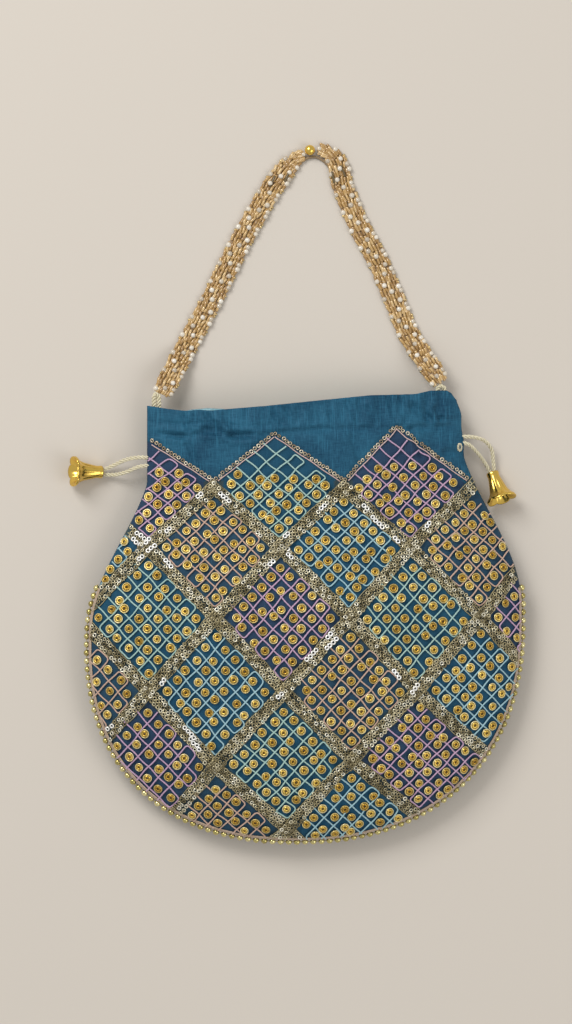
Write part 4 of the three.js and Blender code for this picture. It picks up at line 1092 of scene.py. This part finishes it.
def band_parts(line, climbs, seed):
    """Sequin spots, spots of sequins painted near-white as a glint, and gold thread lines of one band."""
    chance = random.Random(seed)
    spots = []
    bright = []
    for aside in SEQUIN_ROWS:
        s = chance.uniform(0, SEQUIN_PITCH)
        run = 0
        while s < line.total:
            place = line.beside(s, aside + chance.gauss(0, 0.28))
            if on_front(place, SEAM_MARGIN):
                height = 0.9 + climb(line, s, climbs) + chance.uniform(0, 0.4)
                if run:
                    run -= 1
                # A run of sequins starts that take the painted glint colour, more often inside the glints.
                elif chance.random() < (LIT_CHANCE if in_glint(place) else PLAIN_CHANCE):
                    run = chance.choice((2, 3, 4))
                point, out = on_silk(place, height + (0.35 if run else 0))
                (bright if run else spots).append((point, out, BEAD_WAY))
            s += SEQUIN_PITCH * chance.uniform(0.86, 1.12)
    threads = []
    for aside in GOLD_THREADS:
        run = []
        phase = chance.uniform(0, 6.28)
        for s in np.arange(0, line.total, 0.9):
            place = line.beside(s, aside + 0.25 * math.sin(s / 4.1 + phase) + 0.15 * math.sin(s / 1.7))
            if on_front(place, THREAD_MARGIN):
                run.append(on_silk(place, 0.55 + climb(line, s, climbs))[0])
            elif len(run) > 4:
                break
            else:
                run = []
        if len(run) >= SHORTEST_RUN:
            threads.append(run)
    return spots, bright, threads


# The olive stitches that hold the sequins hide the silk between them.
STITCHED_GROUND = (0.050, 0.045, 0.018, 0.6)
STITCHED_REACH = 3.0
for kind, bands, turn in (("falling", FALLING, 1), ("rising", RISING, -1)):
    spots, bright, threads = [], [], []
    for number, (line_number, step, count) in enumerate(bands):
        stops = [crossing(line_number + k, step + turn * k) for k in range(count)]
        stops[0] = stops[0] + 2.4 * (stops[0] - stops[1]) / np.linalg.norm(stops[0] - stops[1])
        for a, b in zip(stops, stops[1:]):
            share = np.clip((silk_places - a) @ (b - a) / ((b - a) @ (b - a)), 0, 1)
            apart = np.linalg.norm(silk_places - a - share[:, None] * (b - a), axis=1)
            ground[apart < STITCHED_REACH] = STITCHED_GROUND
        line = StopLine(stops)
        plain, lit, lines = band_parts(line, kind == "rising", 50 * turn + number)
        spots += plain
        bright += lit
        threads += lines
    band = gather(
        sewn(f"{kind} sequins", spots, sequin, champagne, lean=0.3, seed=11 + turn, sizes=(0.9, 1.06)),
        sewn(f"{kind} bright sequins", bright, sequin, painted_glint_sequin, lean=0.12, seed=13 + turn,
             sizes=(1.06, 1.14)),
        couched(f"{kind} gold threads", threads, 0.27, 1.0, 1.9, -0.5, 5, zari),
        name=f"sequin_bands_{kind}",
    )
    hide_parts(*[f"sequin_band_{kind}_{k + 1}" for k in range(4)])
    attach(band, "root")


silk_front.attributes["ground"].data.foreach_set("color", ground.ravel())


# The zigzag border along the top: one row of smaller, browner sequins over a pale rose thread.
# It runs from crossing to crossing and ends at the mouth's right corner.
BORDER_FOOT = 3.6
BORDER_PITCH = 2.2
ROSE_ASIDE = 1.6
border_stops = [crossing(step % 2, step) + np.array([0, 0 if step % 2 == 0 else BORDER_FOOT])
                for step in range(-2, 4)]
border = StopLine(border_stops + [crossing(1, 3) + np.array([7.2, 10.8])])
chance = random.Random(5)
spots = []
for s in np.arange(0.6, border.total, BORDER_PITCH):
    place = border.beside(s + chance.gauss(0, 0.12), chance.gauss(0, 0.16))
    if on_front(place, SEAM_MARGIN + 0.6):
        spots.append((*on_silk(place, 0.8), BEAD_WAY))
threads = []
for start, end in zip(border.marks, border.marks[1:]):
    places = [border.beside(s, ROSE_ASIDE + 0.12 * math.sin(s / 2.3))
              for s in np.arange(start + 1.4, end - 1.0, 0.8)]
    run = [on_silk(place, 0.65)[0] for place in places if on_front(place, SEAM_MARGIN)]
    if len(run) >= SHORTEST_RUN:
        threads.append(run)
bronze = tinted("bronze sequin", [(0.26, 0.19, 0.11), (0.52, 0.43, 0.29), (0.78, 0.70, 0.54)], 0.26,
                spots=0.4, metallic=0.55, coat_weight=0.4)
rose_thread = spun("rose thread", (0.74, 0.55, 0.50), (0.44, 0.29, 0.28), 2400.0, 0.08 * MM, 0.5,
                   sheen_weight=0.3)
zigzag = gather(
    sewn("border sequins", spots, sequin, bronze, lean=0.25, seed=21, sizes=(0.88, 1.0)),
    couched("border threads", threads, 0.34, 0.9, 1.9, -0.5, 5, rose_thread),
    name="zigzag_border",
)
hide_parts("sequin_zigzag_border")
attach(zigzag, "root")
away_with(sequin)


# The edge trim: antique gold ball beads threaded along the seam of the belly.
# A line of pale thread runs beside them on the silk.
TRIM_PITCH = 4.1
TRIM_RADIUS = 1.62
TRIM_OFF = 0.9


def belly_line(inset, top):
    """The belly's seam from its left side at a height, round the bottom and up to the right."""
    line = [(float(seam_x(-1, y, inset)), y) for y in np.linspace(top, 0, top + 1)]
    for k in range(1, 90):
        y = -(BELLY_DROP - inset) * math.sin(math.pi * k / 90)
        line.append((float(seam_x(-1 if k < 45 else 1, y, inset)), y))
    return line + [(float(seam_x(1, y, inset)), y) for y in np.linspace(0, top, top + 1)]


trim_line = in_metres((*p, SEAM_HEIGHT) for p in belly_line(-TRIM_OFF, 24))
beads_line = smooth_path(trim_line, TRIM_PITCH * MM)
middles = (beads_line[1:] + beads_line[:-1]) / 2
ways = np.diff(beads_line, axis=0)
spots = [(Vector(p), Vector(w).normalized(), (0, 0, 1)) for p, w in zip(middles, ways)]
antique_gold = tinted("antique gold bead", [(0.40, 0.33, 0.10), (0.58, 0.50, 0.18), (0.76, 0.68, 0.34)], 0.2,
                      metallic=0.9, coat_weight=0.5)
tan_link = surface("trim thread", (0.42, 0.34, 0.22), 0.6)[0]
bead = ball("trim bead", TRIM_RADIUS * MM, 10, 6, hole=0.08)
trim = gather(
    sewn("trim beads", spots, bead, antique_gold, lean=0.1, seed=5, sizes=(0.94, 1.02)),
    couched("trim thread", [smooth_path(trim_line, 2 * MM)], 0.32, 1.4, 2.0, 0.0, 5, tan_link),
    name="edge_trim",
)
away_with(bead)
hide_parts("edge_bead_trim")
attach(trim, "root")

tan_thread = spun("tan edge thread", (0.62, 0.48, 0.36), (0.36, 0.26, 0.19), 2400.0, 0.08 * MM, 0.5)
edge_lines = [smooth_path([on_silk(p, height)[0] for p in belly_line(inset, 22)], 1.0 * MM)
              for inset, height in ((0.6, 0.2), (1.3, 0.4))]
edge_thread = couched("edge_thread", edge_lines, 0.5, 1.0, 2.2, -0.4, 5, tan_thread)
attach(edge_thread, "root")


# The handle's loops: the same twisted cord as the draw cords, a little thicker.
# Each is sewn inside a corner of the mouth, and a strap of the handle hangs in it.
# Where the outer and inner legs are, how high the tip is and how deep the legs go.
LOOPS = {"left": (-76.0, -73.6, 118.8, 107.5), "right": (69.8, 66.2, 123.0, 115.5)}
for side, (outer_x, inner_x, tip, deep) in LOOPS.items():
    middle = (outer_x + inner_x) / 2
    shoulder = tip - 2.1
    legs = [
        (outer_x, deep, 11), (outer_x, (deep + shoulder) / 2, 11), (outer_x, shoulder, 11),
        (middle + 0.7 * (outer_x - middle), tip - 0.63, 11), (middle, tip, 11),
        (middle + 0.7 * (inner_x - middle), tip - 0.63, 11), (inner_x, shoulder, 11),
        (inner_x, (deep + shoulder) / 2, 11), (inner_x, deep, 11),
    ]
    loop = twisted(f"loop_{side}", smooth_path(in_metres(legs), 0.5 * MM), 0.62, 0.7, 5.2)
    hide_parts(f"handle_loop_{side}")
    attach(loop, "root")


# The handle: two flat straps braided of pearls, amber bugles and gold seed beads on thread.
# Each narrows to a few strands where one gold bead joins them at the crown.
STRAP_LINES = {
    "left": [(-72.2, 118.9), (-46.00, 167.69), (-31.78, 196.01), (-18.4, 219.2), (-12.6, 227.8),
             (-6.4, 235.4), (-2.4, 238.7), (0.4, 240.2)],
    "right": [(67.4, 125.3), (53.26, 148.88), (45.13, 168.20), (37.30, 186.15), (26.1, 207.3), (22.1, 217.3),
              (19.2, 224.7), (17.9, 232.1), (15.7, 237.5), (10.7, 241.6), (6.7, 242.8)],
}
STRAP_HALF_WIDTH = 5.5
CROWN_TAPER = 16
FOOT_TAPER = 4
STRAP_FOOT_HEIGHT = SEAM_HEIGHT - 1.4
STRAP_RAMP = 30
PATTERN_LENGTH = 9.9
PEARL_RADIUS = 1.35
BUGLE_RADIUS = 0.76
BUGLE_LENGTH = 3.5
SEED_RADIUS = 0.72
pearl_white = tinted("pearl", [(0.46, 0.39, 0.30), (0.62, 0.55, 0.44), (0.80, 0.75, 0.66)], 0.14,
                     coat_weight=0.6, sheen_weight=0.1)
amber_bugle = tinted("amber bugle", [(0.32, 0.18, 0.06), (0.50, 0.31, 0.11), (0.66, 0.47, 0.23)], 0.16,
                     metallic=0.05, coat_weight=0.6)
strap_tape = surface("tan strap net", (0.42, 0.29, 0.17), 0.7)[0]
gold_seed = tinted("gold seed bead", [(0.46, 0.33, 0.14), (0.74, 0.58, 0.28)], 0.2, metallic=0.7)
pearl = ball("pearl", PEARL_RADIUS * MM, 10, 6)
seed = ball("seed bead", SEED_RADIUS * MM, 8, 4)
bugle_rings = []
for along, radius in ((-0.5, 0.72), (-0.44, 1.0), (0.44, 1.0), (0.5, 0.72)):
    wide = BUGLE_RADIUS * radius * MM
    bugle_rings.append([
        (wide * math.cos(math.tau * s / 7), wide * math.sin(math.tau * s / 7), along * BUGLE_LENGTH * MM)
        for s in range(7)
    ])
bugle = piece_mesh("bugle", bugle_rings, wrap=False, cap=True)


def strap_frame(line, s):
    """A place along a strap, its way and its side way, in millimetres."""
    marks = np.concatenate([[0], np.cumsum(np.linalg.norm(np.diff(line, axis=0), axis=1))])
    here = np.array([np.interp(s, marks, line[:, k]) for k in range(3)])
    ahead = np.array([np.interp(min(s + 1, marks[-1]), marks, line[:, k]) for k in range(3)])
    back = np.array([np.interp(max(s - 1, 0), marks, line[:, k]) for k in range(3)])
    way = (ahead - back) / np.linalg.norm(ahead - back)
    return here, way, np.array([way[1], -way[0], 0])


# Painted shade near the crown: dark slim sticks laid where gaps in the beadwork show shade, where, and which
# way they lie.
GAP_SHADES_NEAR_CROWN = {
    "left": [(-16.1, 226.1, 0.45, 0.89), (-8.8, 228.6, 0.40, 0.92)],
    "right": [(19.4, 231.5, -0.4, 0.92), (14.4, 228.2, -0.2, 0.98)],
}
# A dark colour that is painted shade, for the gaps of the beadwork near the crown.
gap_shade_paint = surface("dark olive bugle", (0.13, 0.095, 0.045), 0.3)[0]
gap_shade_stick = bugle.copy()
gap_shade_stick.data = bugle.data.copy()
gap_shade_stick.data.transform(Matrix.Diagonal((0.75, 0.75, 1.7, 1)))
bpy.context.scene.collection.objects.link(gap_shade_stick)


for side, flat in STRAP_LINES.items():
    line = smooth_path([Vector((*p, 0)) for p in flat], 0.5)
    total = length_of(line)
    chance = random.Random(17 if side == "left" else 18)
    pearls, bugles, seeds = [], [], []

    def strap_spot(s, aside, up, lean_way=0.0):
        here, way, across = strap_frame(line, s)
        at_crown = 0.5 + 0.5 * float(smooth(total - s, 0, CROWN_TAPER))
        at_foot = 0.8 + 0.2 * float(smooth(s, 0, FOOT_TAPER))
        half = STRAP_HALF_WIDTH * at_crown * at_foot
        lift = STRAP_FOOT_HEIGHT * (1 - float(smooth(s, 0, STRAP_RAMP)))
        place = here + across * aside * half
        place[2] = lift + up
        ahead = way * math.cos(lean_way) + across * math.sin(lean_way)
        return Vector(place) * MM, Vector(ahead), (0, 0, 1)

    count = int(round(total / PATTERN_LENGTH))
    period = total / count
    for k in range(count):
        s = k * period + 0.9
        last = k >= count - 1
        pearls.append(strap_spot(s + 0.2, -0.86, 1.4))
        pearls.append(strap_spot(s + 1.2, 0.86, 1.4))
        if not last:
            pearls.append(strap_spot(s + 3.6, 0.80, 1.4))
            pearls.append(strap_spot(s + 2.4, 0.02, 2.1))
            pearls.append(strap_spot(s + 6.6, -0.40 if k % 2 else 0.44, 2.0))
            seeds.append(strap_spot(s + 5.6, 0.92, 1.0))
            seeds.append(strap_spot(s + 7.0, 0.96, 1.0))
            seeds.append(strap_spot(s + 8.3, -0.95, 1.0))
        for aside in (-0.84, -0.58, -0.30, 0.0, 0.28, 0.56, 0.82):
            slant = 0.10 * (-1 if aside < 0 else 1)
            for offset in (0.6, 3.6, 6.6, 9.4):
                if s + offset + 1.3 > total:
                    continue
                bugles.append(strap_spot(
                    s + offset + chance.uniform(-0.9, 0.9), aside + chance.uniform(-0.05, 0.05),
                    1.0 + 0.6 * (1 - abs(aside)) + chance.uniform(-0.15, 0.25),
                    slant + chance.uniform(-0.2, 0.2)))
    pearls.append(strap_spot(total - 0.9, 0.0, 1.5))
    # Painted shade in the gaps of the beadwork near the crown, on slim bugle-shaped sticks.
    gap_shade_spots = [(Vector((x, y, 2.3)) * MM, Vector((a, b, 0)), (0, 0, 1))
                  for x, y, a, b in GAP_SHADES_NEAR_CROWN[side]]
    tape_rings = []
    for s in np.linspace(0.5, total - 13, 60):
        tape_rings.append([tuple(strap_spot(s, aside, up)[0])
                           for aside, up in ((-0.92, 0.3), (0.92, 0.3), (0.92, 0.9), (-0.92, 0.9))])
    tape = piece_mesh(f"{side} strap net", tape_rings, wrap=False, cap=True)
    tape.data.materials.append(strap_tape)
    strap = gather(
        tape,
        sewn(f"{side} pearls", pearls, pearl, pearl_white, lean=0.3, seed=31, sizes=(0.9, 1.04)),
        sewn(f"{side} bugles", bugles, bugle, amber_bugle, lean=0.05, seed=32, sizes=(0.94, 1.05)),
        sewn(f"{side} dark bugles", gap_shade_spots, gap_shade_stick, gap_shade_paint),
        sewn(f"{side} seeds", seeds, seed, gold_seed, lean=0.3, seed=33, sizes=(0.9, 1.1)),
        name=f"beaded_handle_{side}",
    )
    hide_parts(f"beaded_strap_{side}")
    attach(strap, "root")
away_with(pearl, seed, bugle, gap_shade_stick)

# The inner strand of the handle: bronze thread wound over a core.
# It runs on under the crown bead from one strap to the other.
bronze_strand = spun("bronze strand", (0.34, 0.24, 0.13), (0.14, 0.09, 0.05), 2400.0, 0.08 * MM, 0.4)
strand_line = [(-8.5, 227.5), (-4.6, 232.6), (-0.6, 236.6), (2.5, 238.1), (5.9, 238.4), (9.2, 236.9),
               (12.0, 234.3), (13.8, 230.5), (14.8, 226.5)]
strand_path = smooth_path(in_metres((*p, 1.0) for p in strand_line), 0.8 * MM)
crown_strand = couched("crown_strand", [strand_path], 0.75, 0.8, 1.8, -0.4, 7, bronze_strand)
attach(crown_strand, "root")


# The crown bead: one polished gold ball, drilled through.
# The threads of both straps pass through it.
CROWN_PLACE = (2.7, 241.8, 2.6)
polished_gold = surface("polished gold", (0.84, 0.57, 0.12), 0.2, metallic=1.0)[0]
crown = ball("crown_ball", 2.6 * MM, 32, 20, hole=0.05)
crown.data.transform(Matrix.Translation(Vector(CROWN_PLACE) * MM))
finished(crown, polished_gold)
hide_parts("crown_bead")
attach(crown, "root")


# The bells: stamped gold flowers of six petals with a rolled rim, one on each draw cord.
# Each lies on the floor on its neck and its rim, and the cord's knot sits inside its neck.
BELLS = {
    "left": ((-101.8, 80, 3.6), (-0.96, 0.02, 0.28)),
    "right": ((94.8, 79.8, 3.6), (0.29, -0.92, 0.28)),
}
BELL_PROFILE = [
    (2.75, 0.0), (3.05, 0.05), (3.2, 0.5), (3.15, 1.2), (3.0, 1.9), (3.15, 3.4), (3.45, 5.2), (3.8, 7.0),
    (4.2, 8.8), (4.7, 10.4), (5.35, 11.6), (6.2, 12.7), (7.1, 13.5), (7.75, 14.2), (7.95, 14.9), (7.7, 15.3),
    (7.2, 15.0), (6.3, 14.1), (5.3, 13.0), (4.6, 12.0), (4.1, 10.7), (3.7, 9.0), (3.4, 7.2), (3.1, 5.4),
    (2.8, 2.9), (2.75, 2.17), (2.75, 1.0),
]
BELL_SIDES = 96
KNOT_SIZE = 0.78


def bell_surface(turn, radius, along):
    flare = float(smooth(along, 11.2, 15.0))
    notch = 1 - abs(math.cos(3 * turn)) ** 0.6
    flutes = 0.035 * float(smooth(along, 2.5, 6)) * (1 - flare) * math.cos(12 * turn)
    return radius * (1 + flutes - 0.10 * flare * notch), along - 0.9 * flare * notch


for side, (neck, ahead) in BELLS.items():
    turn_to = Vector((0, 0, 1)).rotation_difference(Vector(ahead)).to_matrix().to_4x4()
    place = Matrix.Translation(Vector(neck) * MM) @ turn_to
    rings = []
    for radius, along in BELL_PROFILE:
        ring = []
        for k in range(BELL_SIDES):
            turn = math.tau * k / BELL_SIDES
            r, a = bell_surface(turn, radius, along)
            ring.append(place @ (Vector((r * math.cos(turn), r * math.sin(turn), a)) * MM))
        rings.append(ring)
    bell = finished(piece_mesh(f"flower_bell_{side}", rings), polished_gold)
    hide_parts(f"bell_{side}")
    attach(bell, "root")

    knot_line = []
    for k in range(97):
        t = math.tau * k / 96
        knot_line.append(place @ (Vector((
            KNOT_SIZE * (math.sin(t) + 2 * math.sin(2 * t)) * 0.72,
            KNOT_SIZE * (math.cos(t) - 2 * math.cos(2 * t)) * 0.72,
            4.2 - 0.8 * math.sin(3 * t),
        )) * MM))
    knot = twisted(f"knot_{side}", knot_line, 0.36, 0.4, 5.2)
    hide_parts(f"cord_knot_{side}")
    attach(knot, "root")


# The table and the light: a plain pale sheet that the bag lies on.
# Soft light comes from the upper left, and a weaker one fills the shadows from the lower right.
floor = placed("floor", [(-3, -3, 0), (3, -3, 0), (3, 3, 0), (-3, 3, 0)], faces=[(0, 1, 2, 3)])
floor.data.materials.append(surface("pale paper", (0.60, 0.55, 0.487), 0.85)[0])

world = bpy.data.worlds.new("studio")
world.use_nodes = True
backdrop = world.node_tree.nodes["Background"]
backdrop.inputs["Color"].default_value = (1.0, 0.985, 0.96, 1)
backdrop.inputs["Strength"].default_value = 0.55
bpy.context.scene.world = world


def soft_light(name, place, size, power, aim=(0, 0.06, 0)):
    data = bpy.data.lights.new(name, "AREA")
    data.shape = "SQUARE"
    data.size = size
    data.energy = power
    lamp = bpy.data.objects.new(name, data)
    lamp.location = place
    lamp.rotation_euler = (Vector(aim) - Vector(place)).to_track_quat("-Z", "Y").to_euler()
    bpy.context.scene.collection.objects.link(lamp)


soft_light("window", (-0.9, 1.1, 1.3), 0.9, 22)
soft_light("fill", (1.2, -0.6, 1.4), 1.2, 9)

bpy.context.scene.view_settings.view_transform = "Standard"
